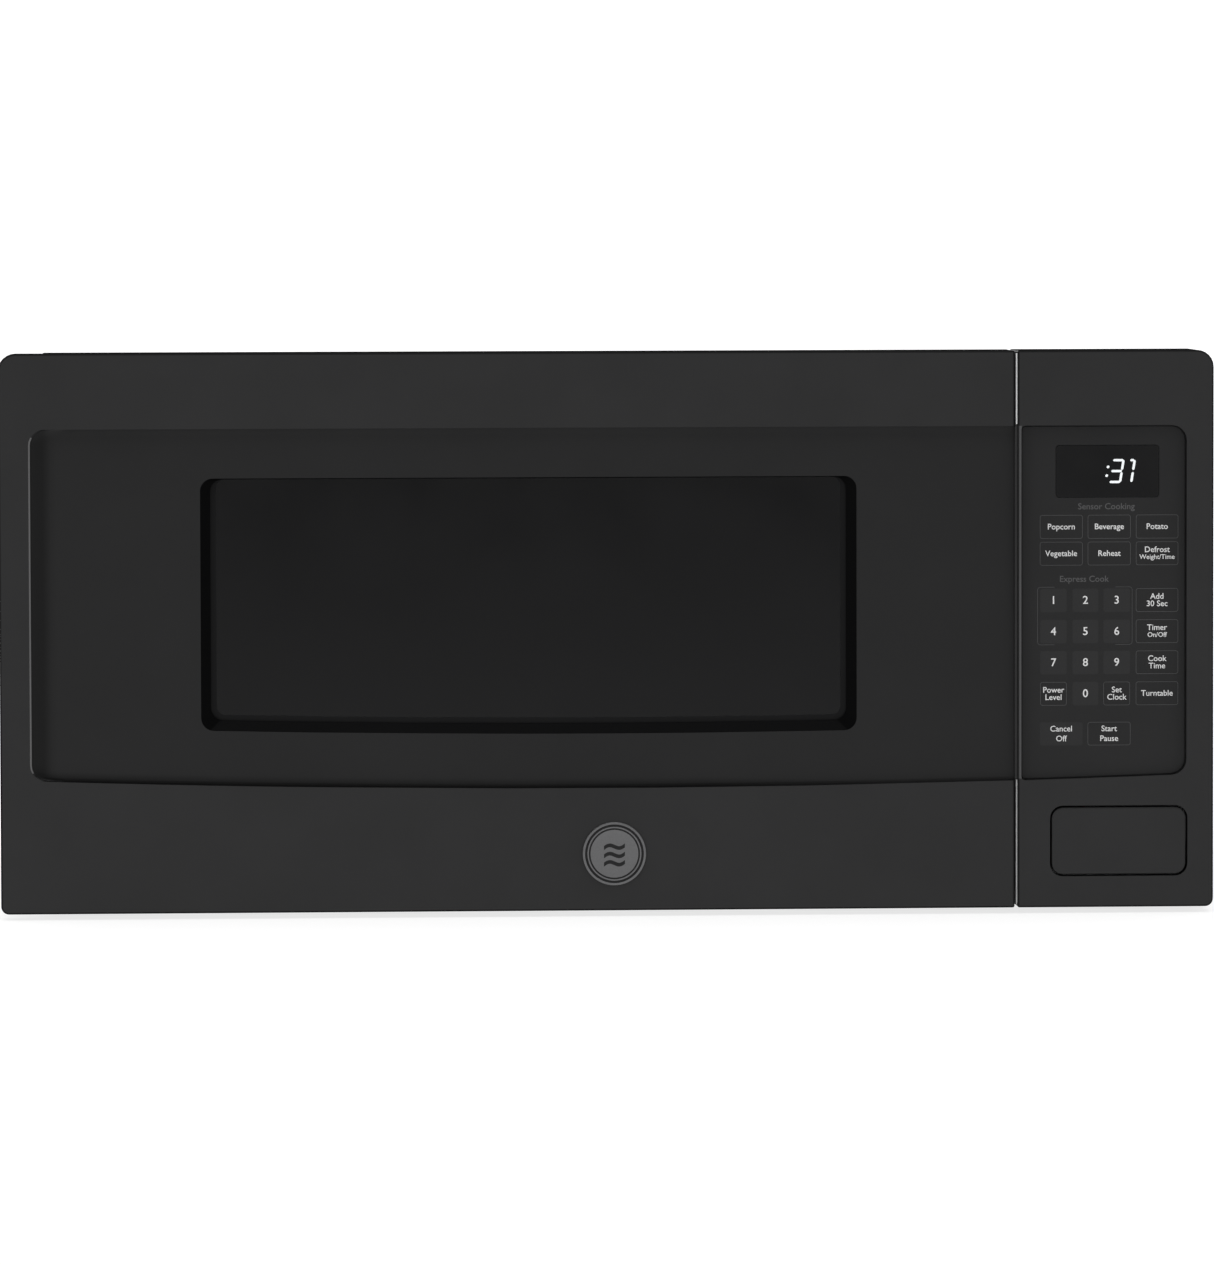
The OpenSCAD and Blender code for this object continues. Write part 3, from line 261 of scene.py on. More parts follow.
class Finish:
    """A material on a Principled shader, with patterns in the piece's own metres."""

    def __init__(self, name, colour, roughness, metallic=0.0, **sockets):
        self.material = bpy.data.materials.new(name)
        self.material.use_nodes = True
        self.tree = self.material.node_tree
        self.shader = self.tree.nodes["Principled BSDF"]
        self.place = self.add("ShaderNodeTexCoord").outputs["Object"]
        self.set("Base Color", (*colour, 1))
        self.set("Roughness", roughness)
        self.set("Metallic", metallic)
        for key, value in sockets.items():
            self.set(key.replace("_", " ").title().replace("Ior", "IOR"), value)
        self.material.diffuse_color = (*colour, 1)

    def set(self, socket, value):
        self.shader.inputs[socket].default_value = value

    def add(self, kind, **values):
        node = self.tree.nodes.new(kind)
        for key, value in values.items():
            setattr(node, key, value)
        return node

    def link(self, source, target):
        self.tree.links.new(source, target)

    def stretched(self, scale):
        node = self.add("ShaderNodeMapping")
        node.inputs["Scale"].default_value = scale
        self.link(self.place, node.inputs["Vector"])
        return node.outputs["Vector"]

    def axes(self):
        """The piece's own X, Y and Z."""
        node = self.add("ShaderNodeSeparateXYZ")
        self.link(self.place, node.inputs["Vector"])
        return node.outputs["X"], node.outputs["Y"], node.outputs["Z"]

    def noise(self, scale, detail, place=None):
        node = self.add("ShaderNodeTexNoise")
        node.inputs["Scale"].default_value = scale
        node.inputs["Detail"].default_value = detail
        self.link(place or self.place, node.inputs["Vector"])
        return node.outputs["Fac"]

    def cells(self, scale, feature="F1", output="Distance"):
        node = self.add("ShaderNodeTexVoronoi", feature=feature)
        node.inputs["Scale"].default_value = scale
        self.link(self.place, node.inputs["Vector"])
        return node.outputs[output]

    def spread(self, value, low, high, start=0.3, end=0.7):
        node = self.add("ShaderNodeMapRange")
        for socket, number in (("From Min", start), ("From Max", end),
                               ("To Min", low), ("To Max", high)):
            node.inputs[socket].default_value = number
        self.link(value, node.inputs["Value"])
        return node.outputs["Result"]

    def ramp(self, value, stops):
        node = self.add("ShaderNodeValToRGB")
        line = node.color_ramp
        while len(line.elements) < len(stops):
            line.elements.new(0.5)
        for element, (place, colour) in zip(line.elements, stops):
            element.position = place
            element.color = (*colour, 1)
        self.link(value, node.inputs["Fac"])
        return node.outputs["Color"]

    def maths(self, how, a, b=0.0):
        node = self.add("ShaderNodeMath", operation=how)
        for socket, value in zip(node.inputs, (a, b)):
            if isinstance(value, (int, float)):
                socket.default_value = value
            else:
                self.link(value, socket)
        return node.outputs["Value"]

    def colour(self, value, stops):
        self.link(self.ramp(value, stops), self.shader.inputs["Base Color"])

    def dim(self, factor):
        """Multiplies the colour already linked by a factor that varies over the surface."""
        socket = self.shader.inputs["Base Color"]
        node = self.add("ShaderNodeVectorMath", operation="SCALE")
        self.link(socket.links[0].from_socket, node.inputs[0])
        self.link(factor, node.inputs["Scale"])
        self.link(node.outputs["Vector"], socket)

    def level(self, value, stops):
        """Grey level between stops of (value, level); the values may be any lengths."""
        start, end = stops[0][0], stops[-1][0]
        return self.ramp(self.spread(value, 0, 1, start, end), [
            ((place - start) / (end - start), (tone, tone, tone)) for place, tone in stops])

    def roughness(self, value, low, high, start=0.3, end=0.7):
        self.link(self.spread(value, low, high, start, end), self.shader.inputs["Roughness"])

    def bump(self, height, strength, depth):
        node = self.add("ShaderNodeBump")
        node.inputs["Strength"].default_value = strength
        node.inputs["Distance"].default_value = depth
        self.link(height, node.inputs["Height"])
        self.link(node.outputs["Normal"], self.shader.inputs["Normal"])


def shades(colour, less, more):
    return [(0.3, tuple(c * less for c in colour)), (0.7, tuple(c * more for c in colour))]


def spark_texture(name, colour, roughness, grain=2600, depth=0.02 * MM, strength=0.25,
                  uneven=0.05, **sockets):
    """Moulded plastic: fine spark texture, slightly uneven colour and sheen."""
    f = Finish(name, colour, roughness, **sockets)
    f.colour(f.noise(28, 4), shades(colour, 1 - uneven, 1 + uneven))
    f.roughness(f.noise(9, 3), roughness - 0.03, roughness + 0.03)
    f.bump(f.noise(grain, 2), strength, depth)
    return f


def moulding(*values, **sockets):
    return spark_texture(*values, **sockets).material


def powder_coat(name, colour, roughness):
    """Baked powder paint on steel: soft orange peel and a fine speckle."""
    f = Finish(name, colour, roughness, coat_weight=0.04, coat_roughness=0.3,
               specular_ior_level=0.3)
    f.colour(f.noise(1500, 2), shades(colour, 0.9, 1.1))
    f.roughness(f.noise(14, 2), roughness - 0.02, roughness + 0.02)
    f.bump(f.maths("ADD", f.noise(900, 2), f.maths("MULTIPLY", f.noise(2600, 1), 0.4)),
           0.3, 0.03 * MM)
    return f.material


def galvanised(name, colour, roughness):
    """Zinc-coated steel with crystal spangle."""
    f = Finish(name, colour, roughness, 1.0)
    channels = f.add("ShaderNodeSeparateColor")
    f.link(f.cells(190, output="Color"), channels.inputs["Color"])
    tone = channels.outputs["Red"]
    f.colour(tone, [(0.0, tuple(c * 0.82 for c in colour)),
                    (1.0, tuple(c * 1.08 for c in colour))])
    f.roughness(tone, roughness - 0.08, roughness + 0.1, 0, 1)
    f.bump(f.noise(700, 3), 0.12, 0.03 * MM)
    return f.material


def bright_metal(name, colour, roughness, streaks=(60, 60, 3000)):
    """Drawn or turned metal with fine streaks."""
    f = Finish(name, colour, roughness, 1.0)
    line = f.noise(1, 3, f.stretched(streaks))
    f.colour(line, shades(colour, 0.9, 1.06))
    f.roughness(line, roughness - 0.07, roughness + 0.08)
    f.bump(line, 0.1, 0.02 * MM)
    return f.material


def enamel(name, colour):
    """Smooth, faintly speckled oven enamel."""
    f = Finish(name, colour, 0.42, coat_weight=0.1, coat_roughness=0.3)
    f.colour(f.noise(320, 2), shades(colour, 0.96, 1.03))
    f.roughness(f.noise(30, 3), 0.38, 0.46)
    f.bump(f.noise(1400, 1), 0.05, 0.02 * MM)
    return f.material


def clear_film(name, colour, roughness, alpha, **sockets):
    """Thin clear or smoked sheet, with faint smears."""
    f = Finish(name, colour, roughness, alpha=alpha, **sockets)
    f.roughness(f.noise(22, 4), roughness * 0.8, roughness * 1.5)
    f.colour(f.noise(60, 2), shades(colour, 0.97, 1.03))
    return f.material


def length(f, a, b):
    return f.maths("SQRT", f.maths("ADD", f.maths("MULTIPLY", a, a), f.maths("MULTIPLY", b, b)))


def punched_screen(name, colour):
    """Black painted steel, punched with close rows of round holes."""
    pitch, hole_r = 2.4 * MM, 0.75 * MM
    f = Finish(name, colour, 0.5)
    f.colour(f.noise(700, 2), shades(colour, 0.85, 1.15))
    x, _, z = f.axes()

    def offset(axis, step, shift):
        turn = f.maths("ADD", f.maths("DIVIDE", axis, step), shift)
        return f.maths("MULTIPLY", f.maths("SUBTRACT", f.maths("FRACT", turn), 0.5), step)

    def row(shift):
        """How far each place is from a hole centre in one set of rows."""
        return length(f, offset(x, pitch, shift), offset(z, pitch * math.sqrt(3), shift))

    nearest = f.maths("MINIMUM", row(0.0), row(0.5))
    f.link(f.maths("GREATER_THAN", nearest, hole_r), f.shader.inputs["Alpha"])
    return f.material


def laminated(name, colour):
    """Stacked iron sheets."""
    f = Finish(name, colour, 0.45, 0.9)
    stack = f.noise(1, 1, f.stretched((4, 1600, 4)))
    f.colour(stack, shades(colour, 0.6, 1.3))
    f.roughness(f.noise(80, 3), 0.38, 0.6)
    f.bump(stack, 0.5, 0.15 * MM)
    return f.material


def wound_wire(name, colour):
    """Lacquered copper wire laid in close turns."""
    f = Finish(name, colour, 0.28, 0.85, coat_weight=0.5, coat_roughness=0.1)
    wave = f.add("ShaderNodeTexWave", wave_type="BANDS", bands_direction="Z")
    wave.inputs["Scale"].default_value = 260
    wave.inputs["Distortion"].default_value = 0.6
    f.link(f.place, wave.inputs["Vector"])
    turn = wave.outputs["Fac"]
    f.colour(turn, shades(colour, 0.45, 1.1))
    f.bump(turn, 0.8, 0.4 * MM)
    return f.material


def board(name):
    """Green solder mask with fine tracks."""
    f = Finish(name, (0.02, 0.11, 0.04), 0.35, coat_weight=0.4, coat_roughness=0.15)
    tracks = f.cells(240, "DISTANCE_TO_EDGE")
    f.colour(tracks, [(0.0, (0.05, 0.24, 0.08)), (0.1, (0.04, 0.19, 0.06)),
                      (0.13, (0.015, 0.09, 0.03)), (1.0, (0.02, 0.12, 0.04))])
    f.bump(tracks, 0.2, 0.05 * MM)
    return f.material


def mica_sheet(name):
    """Flaky pressed mica."""
    f = Finish(name, (0.55, 0.47, 0.36), 0.4, sheen_weight=0.2)
    f.colour(f.noise(160, 5), [(0.3, (0.4, 0.33, 0.24)), (0.7, (0.66, 0.58, 0.46))])
    f.roughness(f.cells(300), 0.25, 0.55, 0, 1)
    f.bump(f.noise(500, 3), 0.2, 0.05 * MM)
    return f.material


CHARCOAL = (0.0236, 0.0236, 0.024)
LOW_SHEEN = 0.15
FINISHES = {
    "front_charcoal": moulding("charcoal_moulding", CHARCOAL, 0.42, specular_ior_level=LOW_SHEEN),
    "keypad_film": moulding("keypad_film", (0.018, 0.018, 0.0184), 0.36, 1500, 0.01 * MM,
                            specular_ior_level=LOW_SHEEN),
    "smoked_glass": clear_film("smoked_glass", (0.003, 0.003, 0.0033), 0.12, 0.95,
                               specular_ior_level=0.21),
    "display_lens": clear_film("display_lens", (0.005, 0.005, 0.0054), 0.12, 1.0,
                               specular_ior_level=0.2),
    "badge_metal": bright_metal("badge_satin", (0.165, 0.165, 0.168), 0.45, (900, 60, 900)),
    "cabinet_paint": powder_coat("cabinet_powder_coat", (0.022, 0.022, 0.023), 0.46),
    "zinc_sheet": galvanised("zinc_sheet", (0.55, 0.56, 0.57), 0.38),
    "cavity_enamel": enamel("cavity_enamel", (0.58, 0.58, 0.56)),
    "choke_plastic": moulding("choke_plastic", (0.03, 0.03, 0.031), 0.5, 1400, 0.05 * MM, 0.35),
    "screen_paint": punched_screen("punched_screen", (0.012, 0.012, 0.012)),
    "clear_window": clear_film("clear_window", (0.16, 0.17, 0.17), 0.08, 0.12),
    "tray_glass": clear_film("tray_glass", (0.78, 0.84, 0.82), 0.04, 0.35),
    "lamp_glass": clear_film("lamp_glass", (0.9, 0.88, 0.82), 0.1, 0.4),
    "rubber_black": moulding("black_rubber", (0.018, 0.018, 0.018), 0.72, 900, 0.08 * MM, 0.4),
    "zinc_screw": bright_metal("zinc_screw", (0.6, 0.6, 0.58), 0.3, (500, 500, 500)),
    "steel_shaft": bright_metal("ground_steel", (0.56, 0.56, 0.57), 0.24),
    "spring_steel": bright_metal("spring_steel", (0.42, 0.42, 0.43), 0.32, (900, 900, 900)),
    "acetal_white": moulding("natural_acetal", (0.72, 0.71, 0.66), 0.4, 1200, 0.03 * MM,
                             subsurface_weight=0.1),
    "board_plastic": moulding("latch_board_plastic", (0.62, 0.6, 0.54), 0.5, 1000, 0.04 * MM),
    "shroud_plastic": moulding("dark_nylon", (0.05, 0.05, 0.052), 0.5, 900, 0.05 * MM),
    "mica": mica_sheet("mica_sheet"),
    "circuit_board": board("circuit_board"),
    "board_component": moulding("component_cases", (0.05, 0.055, 0.07), 0.4, 800, 0.04 * MM),
    "display_tube": moulding("display_module_case", (0.03, 0.034, 0.034), 0.35, 800, 0.03 * MM),
    "motor_steel": galvanised("motor_cans", (0.62, 0.62, 0.6), 0.34),
    "fin_aluminium": bright_metal("fin_aluminium", (0.78, 0.79, 0.8), 0.3, (80, 80, 2400)),
    "antenna_copper": bright_metal("antenna_copper", (0.76, 0.42, 0.28), 0.28),
    "core_iron": laminated("laminated_core", (0.22, 0.2, 0.18)),
    "coil_copper": wound_wire("coil_winding", (0.62, 0.25, 0.1)),
    "fuse_ceramic": moulding("fuse_ceramic", (0.75, 0.73, 0.68), 0.3, 700, 0.03 * MM),
}


def clothe_nodes():
    """Puts each slot's finish on every CAD node that uses it."""
    for part in frame["record"]["subparts"]:
        mesh = NODES[part["node"]].data
        mesh.materials.clear()
        mesh.materials.append(FINISHES[part["material_slot"]])


# ---------------------------------------------------------------- outlines

def dissolve_near(piece, x, low_z, reach):
    """Takes out points of the long curve that stand too near a corner at x."""
    choose(piece, "EDGE", lambda e: runs_back(e) and e.verts[0].co.z < low_z
           and 0.01 * MM < abs(e.verts[0].co.x - x) < reach)
    bpy.ops.mesh.dissolve_edges(use_verts=True)
    done()


def corners_of(left, right, radii):
    """Side, whether at the top, and radius, from the top left round to the lower left."""
    return ((left, True, radii[0]), (right, True, radii[1]),
            (right, False, radii[2]), (left, False, radii[3]))


def round_corners(piece, corners, middle):
    for x, top, radius in corners:
        if radius:
            round_edges(piece, lambda e: runs_back(e) and near(e.verts[0].co.x, x)
                        and (e.verts[0].co.z > middle) == top, radius)


def curved_slab(name, left, right, low, high, front, back, radii):
    """Slab whose bottom is part of the long curve, lowest at x = 0."""
    deselect()
    bpy.ops.mesh.primitive_cylinder_add(
        vertices=SMILE_SIDES, radius=SMILE_R, depth=back - front,
        location=(0, (front + back) / 2, low + SMILE_R), rotation=(math.pi / 2, 0, 0))
    piece = settle(name)
    bpy.ops.object.mode_set(mode="EDIT")
    for place, way in (((0, 0, high), (0, 0, 1)), ((left, 0, 0), (-1, 0, 0)),
                       ((right, 0, 0), (1, 0, 0))):
        bpy.ops.mesh.select_all(action="SELECT")
        bpy.ops.mesh.bisect(plane_co=place, plane_no=way, use_fill=True, clear_outer=True)
    done()
    middle = (low + high) / 2
    corners = corners_of(left, right, radii)
    for x, top, radius in corners:
        if not top:
            dissolve_near(piece, x, middle, radius * 1.4)
    round_corners(piece, corners, middle)
    return piece


def deepen(piece, y, step, left=0.0, right=0.0, low=0.0, top=0.0):
    """Pushes the back face at y further back, with its sides drawn in."""
    choose(piece, "FACE", lambda f: f.normal.y > 0.9 and near(f.calc_center_median().y, y))
    bpy.ops.mesh.extrude_region_move(TRANSFORM_OT_translate={"value": (0, step, 0)})
    done()
    ends = [v.co for v in piece.data.vertices if near(v.co.y, y + step)]
    x0, x1 = min(p.x for p in ends), max(p.x for p in ends)
    z0, z1 = min(p.z for p in ends), max(p.z for p in ends)
    sides = ((left, lambda p: p.x < x0 + CORNER_REACH, (left, 0, 0)),
             (right, lambda p: p.x > x1 - CORNER_REACH, (-right, 0, 0)),
             (low, lambda p: p.z < (z0 + z1) / 2 and p.z < z0 + 4 * CORNER_REACH, (0, 0, low)),
             (top, lambda p: p.z > z1 - CORNER_REACH, (0, 0, -top)))
    for amount, inside, shift in sides:
        if amount:
            choose(piece, "VERT", lambda v: near(v.co.y, y + step) and inside(v.co))
            bpy.ops.transform.translate(value=shift)
            done()
    return y + step


def plate(name, low, high, radii, rim=0.0):
    """Block with rounded corners, seen from the front, and a rounded front rim if asked for."""
    piece = block(name, low, high)
    round_corners(piece, corners_of(low[0], high[0], radii), (low[2] + high[2]) / 2)
    if rim:
        round_front(piece, low[1], rim)
    return piece


def window_outline(name, inset, top_inset, front, back):
    """Slab on the window's outline, drawn in at the sides and bottom, and at the top."""
    radius = max(WINDOW_CORNER - inset / 4, MM)
    return curved_slab(
        name, WINDOW_LEFT + inset, WINDOW_RIGHT - inset, WINDOW_BOTTOM + inset,
        WINDOW_TOP - top_inset, front, back, [radius] * 4)


PANEL_RECESS_LEFT = SHEET_LOW.x - 0.5 * MM
PANEL_RECESS_RIGHT = SHEET_HIGH.x + 0.5 * MM

# The pane stands out past the bevel by its lip
WINDOW_LEFT = PANE_LOW.x - WINDOW_BEVEL + PANE_LIP
WINDOW_RIGHT = PANE_HIGH.x + WINDOW_BEVEL - PANE_LIP
WINDOW_TOP = PANE_HIGH.z - PANE_LIP
WINDOW_BOTTOM = PANE_LOW.z - WINDOW_BEVEL + PANE_LIP


# ---------------------------------------------------------------- door

# First, the painted highlight on the lip beside the keypad; then the recess floor's own darker tone
LIP_HIGHLIGHT_GAIN = 2.2
RECESS_LEVEL = 0.68


def between(f, value, low, high):
    """1 where the value lies between low and high, and 0 elsewhere."""
    return f.maths("MULTIPLY", f.maths("GREATER_THAN", value, low),
                   f.maths("LESS_THAN", value, high))


def charcoal_painted_light(name, sheen, wall):
    """Charcoal moulding with painted shade: it darkens as the rim turns back.

    Behind the rim the walls keep a set level of painted shade. The narrow lip beside the keypad is
    lighter, a painted highlight.
    """
    f = spark_texture(name, CHARCOAL, 0.42, specular_ior_level=sheen)
    x, y, z = f.axes()
    # Painted highlight on the lip beside the keypad
    lip = f.maths("MULTIPLY", between(f, x, PANEL_LOW.x + 0.5 * MM, PANEL_RECESS_LEFT),
                  between(f, z, BOTTOM + BORDER_LOW + 3.5 * MM, TOP - BORDER_TOP))
    f.dim(f.maths("ADD", 1, f.maths("MULTIPLY", lip, LIP_HIGHLIGHT_GAIN)))
    # Painted shade: the rim darkens as it turns back, and so do the walls behind it
    f.dim(f.level(f.maths("SUBTRACT", y, FRONT), [
        (0, 1), (0.02 * MM, 0.85), (0.1 * MM, 0.62), (0.3 * MM, 0.52), (0.7 * MM, 0.4),
        (1.0 * MM, 0.14), (2.4 * MM, 0.14), (3.4 * MM, wall), (4 * MM, wall)]))
    return f.material


def paint_rim_shade(shell, low, high):
    """Gives the rounded outer rim and the top wall the copy with no sheen and deeper painted shade.
    """
    reach = RIM + 0.1 * MM
    paint_faces(shell, RIM_SHADE_CHARCOAL, lambda f: (
        -0.99 < f.normal.y and f.center.y < FRONT + RIM + 0.3 * MM and (
            f.center.x < low.x + reach or f.center.x > high.x - reach
            or f.center.z < low.z + reach or f.center.z > high.z - reach))
        or (f.normal.z > 0.9 and f.center.z > high.z - 0.5 * MM))


def recess_painted_shade():
    """Recess floor with painted shade in the cove on the left, a painted shadow along the long
    curve at the bottom that fades towards the right, and painted light just under the top edge.
    """
    tone = tuple(c * RECESS_LEVEL for c in CHARCOAL)
    f = spark_texture("recess_charcoal_painted_shade", tone, 0.44, uneven=0.04, specular_ior_level=LOW_SHEEN)
    x, _, z = f.axes()
    # Painted shade in the cove on the left
    across = f.maths("SUBTRACT", x, LEFT + BORDER_SIDE)
    f.dim(f.level(across, [(0, 0.25), (1.5 * MM, 0.25), (1.9 * MM, 0.36), (7 * MM, 0.36),
                           (11 * MM, 0.85), (14 * MM, 1)]))
    # Painted shadow along the long curve at the bottom, lifted towards the right
    rise = f.maths("SUBTRACT", z, BOTTOM + BORDER_LOW + SMILE_R)
    height = f.maths("SUBTRACT", SMILE_R, length(f, x, rise))
    shadow = f.level(height, [(0, 0.06), (1.5 * MM, 0.1), (2.1 * MM, 0.5), (5 * MM, 1)])
    light = f.spread(x, 0, 0.5, 50 * MM, 150 * MM)
    f.dim(f.maths("MINIMUM", 1, f.maths("ADD", shadow, light)))
    # Painted light just under the top edge, against the shadow of the lip
    drop = f.maths("SUBTRACT", TOP - BORDER_TOP, z)
    f.dim(f.spread(drop, 1.35, 1, 0, 4 * MM))
    return f.material


def recess_cutter():
    """The door's shallow recess: a soft cove on the left, crisp walls above and below."""
    start = FRONT + 0.05 * MM
    tool = curved_slab("recess", LEFT + BORDER_SIDE, DOOR_RIGHT + 20 * MM,
                       BOTTOM + BORDER_LOW, TOP - BORDER_TOP, FRONT - PAST, start,
                       [RECESS_CORNER, MM, MM, RECESS_CORNER])
    back = deepen(tool, start, FIRST_STEP, left=CHAMFER)
    shift = CHAMFER
    for angle in (math.radians(a) for a in COVE_ANGLES):
        deep = (RECESS - FRONT) * math.sin(angle)
        across = max(COVE_W * (1 - math.cos(angle)), shift)
        back = deepen(tool, back, FRONT + deep - back, left=across - shift)
        shift = across
    return tool


def window_cutter():
    """The window opening: a bevel on three sides, then a straight throat."""
    tool = window_outline("opening", 0, 0, RECESS - PAST, RECESS + FIRST_STEP)
    y = deepen(tool, RECESS + FIRST_STEP, BEVEL_FLOOR - RECESS - FIRST_STEP, WINDOW_BEVEL,
               WINDOW_BEVEL, WINDOW_BEVEL, 0.5 * MM)
    deepen(tool, y, PANE_BACK + PAST - y)
    return tool


def door_shell():
    shell = plate("door_shell", DOOR_LOW, DOOR_HIGH, (CORNER_TOP, MM, MM, CORNER_LOW), RIM)
    cut_away(shell, recess_cutter())
    inside_front = RECESS + WALL
    cut_away(shell, plate("hollow", (LEFT + WALL, inside_front, BOTTOM + WALL),
                          (DOOR_RIGHT - WALL, DOOR_HIGH.y + PAST, TOP - WALL),
                          (CORNER_TOP - WALL, MM, MM, CORNER_LOW - WALL)))
    fuse(shell, window_outline("boss", -BOSS_W, -BOSS_W, inside_front - 0.5 * MM, PANE_BACK))
    cut_away(shell, window_cutter())
    cut_away(shell, window_outline("seat", WINDOW_BEVEL - PANE_LIP - SEAT_GAP,
                                   -PANE_LIP - SEAT_GAP, PANE_FRONT, PANE_BACK + PAST))
    for z0, z1 in ((TOP - HINGE_CUT.z, TOP + PAST), (BOTTOM - PAST, BOTTOM + HINGE_CUT.z)):
        cut_away(shell, block("hinge_gap", (LEFT - PAST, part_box("hinge_brackets")[0].y - MM, z0),
                              (LEFT + HINGE_CUT.x, DOOR_HIGH.y + PAST, z1)))
    tidy_flats(shell)
    soften(shell)
    finish(shell, SHELL_CHARCOAL_PAINTED_LIGHT, "door", "front_charcoal", "door_skin")
    # The window's bevel is black moulding, darkened further as painted shade; the upward-facing
    # sill gets a less dark copy as painted light from above
    shaded_bevel = moulding("window_bezel_black", (0.0015, 0.0015, 0.0016), 0.6, 1800, 0.01 * MM,
                     specular_ior_level=0.03)
    lit_sill = moulding("window_sill_black", (0.003, 0.003, 0.0032), 0.55, 1800, 0.01 * MM,
                    specular_ior_level=0.04)
    # Painted highlight for the chamfer at the recess's left edge
    sheen = moulding("recess_edge_sheen", (0.095, 0.095, 0.096), 0.4, 1800, 0.01 * MM)
    edge = LEFT + BORDER_SIDE
    paint_faces(shell, shaded_bevel, lambda f: in_window(f.center) and f.center.y > RECESS + 0.2 * MM)
    paint_faces(shell, lit_sill, lambda f: in_window(f.center) and f.center.y > RECESS + 0.2 * MM
                and f.normal.z > 0.4)
    # The recess floor, with its painted shade, painted shadow and painted light
    paint_faces(shell, recess_painted_shade(), lambda f: FRONT + 0.5 * MM < f.center.y < RECESS + 0.2 * MM
                and f.normal.y < -0.2 and f.center.x < DOOR_RIGHT - MM
                and edge - MM < f.center.x and f.center.z > BOTTOM + BORDER_LOW - MM)
    # Painted highlight along the chamfer at the recess's left edge
    paint_faces(shell, sheen, lambda f: f.center.y < FRONT + 0.5 * MM and f.normal.y > -0.995
                and edge - 0.5 * MM < f.center.x < edge + 1.5 * MM
                and BOTTOM + BORDER_LOW + 0.5 * RECESS_CORNER < f.center.z
                < TOP - BORDER_TOP - 0.5 * RECESS_CORNER)
    paint_rim_shade(shell, DOOR_LOW, DOOR_HIGH)


def in_window(place):
    return (WINDOW_LEFT - 0.5 * MM < place.x < WINDOW_RIGHT + 0.5 * MM
            and WINDOW_BOTTOM - 0.5 * MM < place.z < WINDOW_TOP + 0.5 * MM)


def window_pane():
    """Smoked pane with a black border printed on it at the sides and bottom."""
    pane = window_outline("window_pane", WINDOW_BEVEL - PANE_LIP, -PANE_LIP, PANE_FRONT, PANE_BACK)
    add_modifier(pane, "BEVEL", width=0.2 * MM, segments=1, limit_method="ANGLE")
    shade(pane, 25)
    finish(pane, FINISHES["smoked_glass"], "door", "smoked_glass", "door_window")
    border = window_outline("pane_border", WINDOW_BEVEL - 1.5 * MM, -1.5 * MM,
                            PANE_FRONT - PRINT, PANE_FRONT + SAME)
    cut_away(border, window_outline("clear_part", WINDOW_BEVEL + BAND_W, 0.6 * MM,
                                    PANE_FRONT - PAST, PANE_FRONT + PAST))
    print_black = moulding("pane_border_print", (0.0075, 0.0075, 0.0078), 0.4, 1200, 0.005 * MM,
                           specular_ior_level=0.08)
    finish(border, print_black, "door", "smoked_glass")


# Steps from the badge's rim inwards: width and depth, in millimetres
BADGE_STEPS = ((1.15, 0), (0.2, 0.35), (0.8, 0), (0.2, -0.3), (0.7, 0), (0.15, 0.15),
               (0.55, 0), (0.15, -0.15), (4.5, 0.1))
BADGE_GROOVES = ((1.2, 2.3), (3.1, 3.85))
WAVE_SIZE, WAVE_STEP = 14, 4.2


def badge():
    """Round badge: raised rim, dark grooves, and a satin disc with three plain waves on it."""
    centre = (BADGE_LOW + BADGE_HIGH) / 2
    radius = (BADGE_HIGH.x - BADGE_LOW.x) / 2
    disc = rod("badge_disc", (centre.x, BADGE_LOW.y, centre.z), radius,
               BADGE_HIGH.y - BADGE_LOW.y, 96)
    front = BADGE_LOW.y
    for thickness, sunk in BADGE_STEPS:
        choose(disc, "FACE", lambda f: f.normal.y < -0.9 and len(f.verts) > 20)
        bpy.ops.mesh.inset(thickness=thickness * MM, depth=-sunk * MM)
        done()
        front += sunk * MM
    round_edges(disc, lambda e: all(near(v.co.y, BADGE_LOW.y) and near(
        math.hypot(v.co.x - centre.x, v.co.z - centre.z), radius) for v in e.verts), 0.25 * MM, 3)
    shade(disc, 25)
    finish(disc, FINISHES["badge_metal"], "door", "badge_metal", "door_badge")
    groove = moulding("badge_groove", (0.02, 0.02, 0.0205), 0.5, 1800, 0.01 * MM,
                      specular_ior_level=0.1)

    def inward(f):
        return (radius - math.hypot(f.center.x - centre.x, f.center.z - centre.z)) / MM

    paint_faces(disc, groove, lambda f: f.center.y < BADGE_LOW.y + MM
                and any(outer < inward(f) < inner for outer, inner in BADGE_GROOVES))
    waves = [legend("~", centre.x / MM, (centre.z + lift * MM) / MM, WAVE_SIZE, front)
             for lift in (WAVE_STEP, 0, -WAVE_STEP)]
    finish(join("badge_waves", waves), groove, "door", "badge_metal")


# ---------------------------------------------------------------- control panel

BUTTON_GAP = 0.8 * MM
BUTTON_CORNER = 5.6 * MM
BUTTON_DEEP = 12 * MM
BUTTON_TOP = BUTTON_LOW.z + 34.1 * MM
LENS_GAP = Vector((0.15, 0, 0.15)) * MM
DISPLAY_LOW = LENS_LOW - LENS_GAP
DISPLAY_HIGH = LENS_HIGH + LENS_GAP
# The stem's middle, from the button's lower left corner, and its half width
STEM_X, STEM_Z, STEM_HALF = 25.7 * MM, 24 * MM, 4 * MM
STEM_TIP = 9 * MM


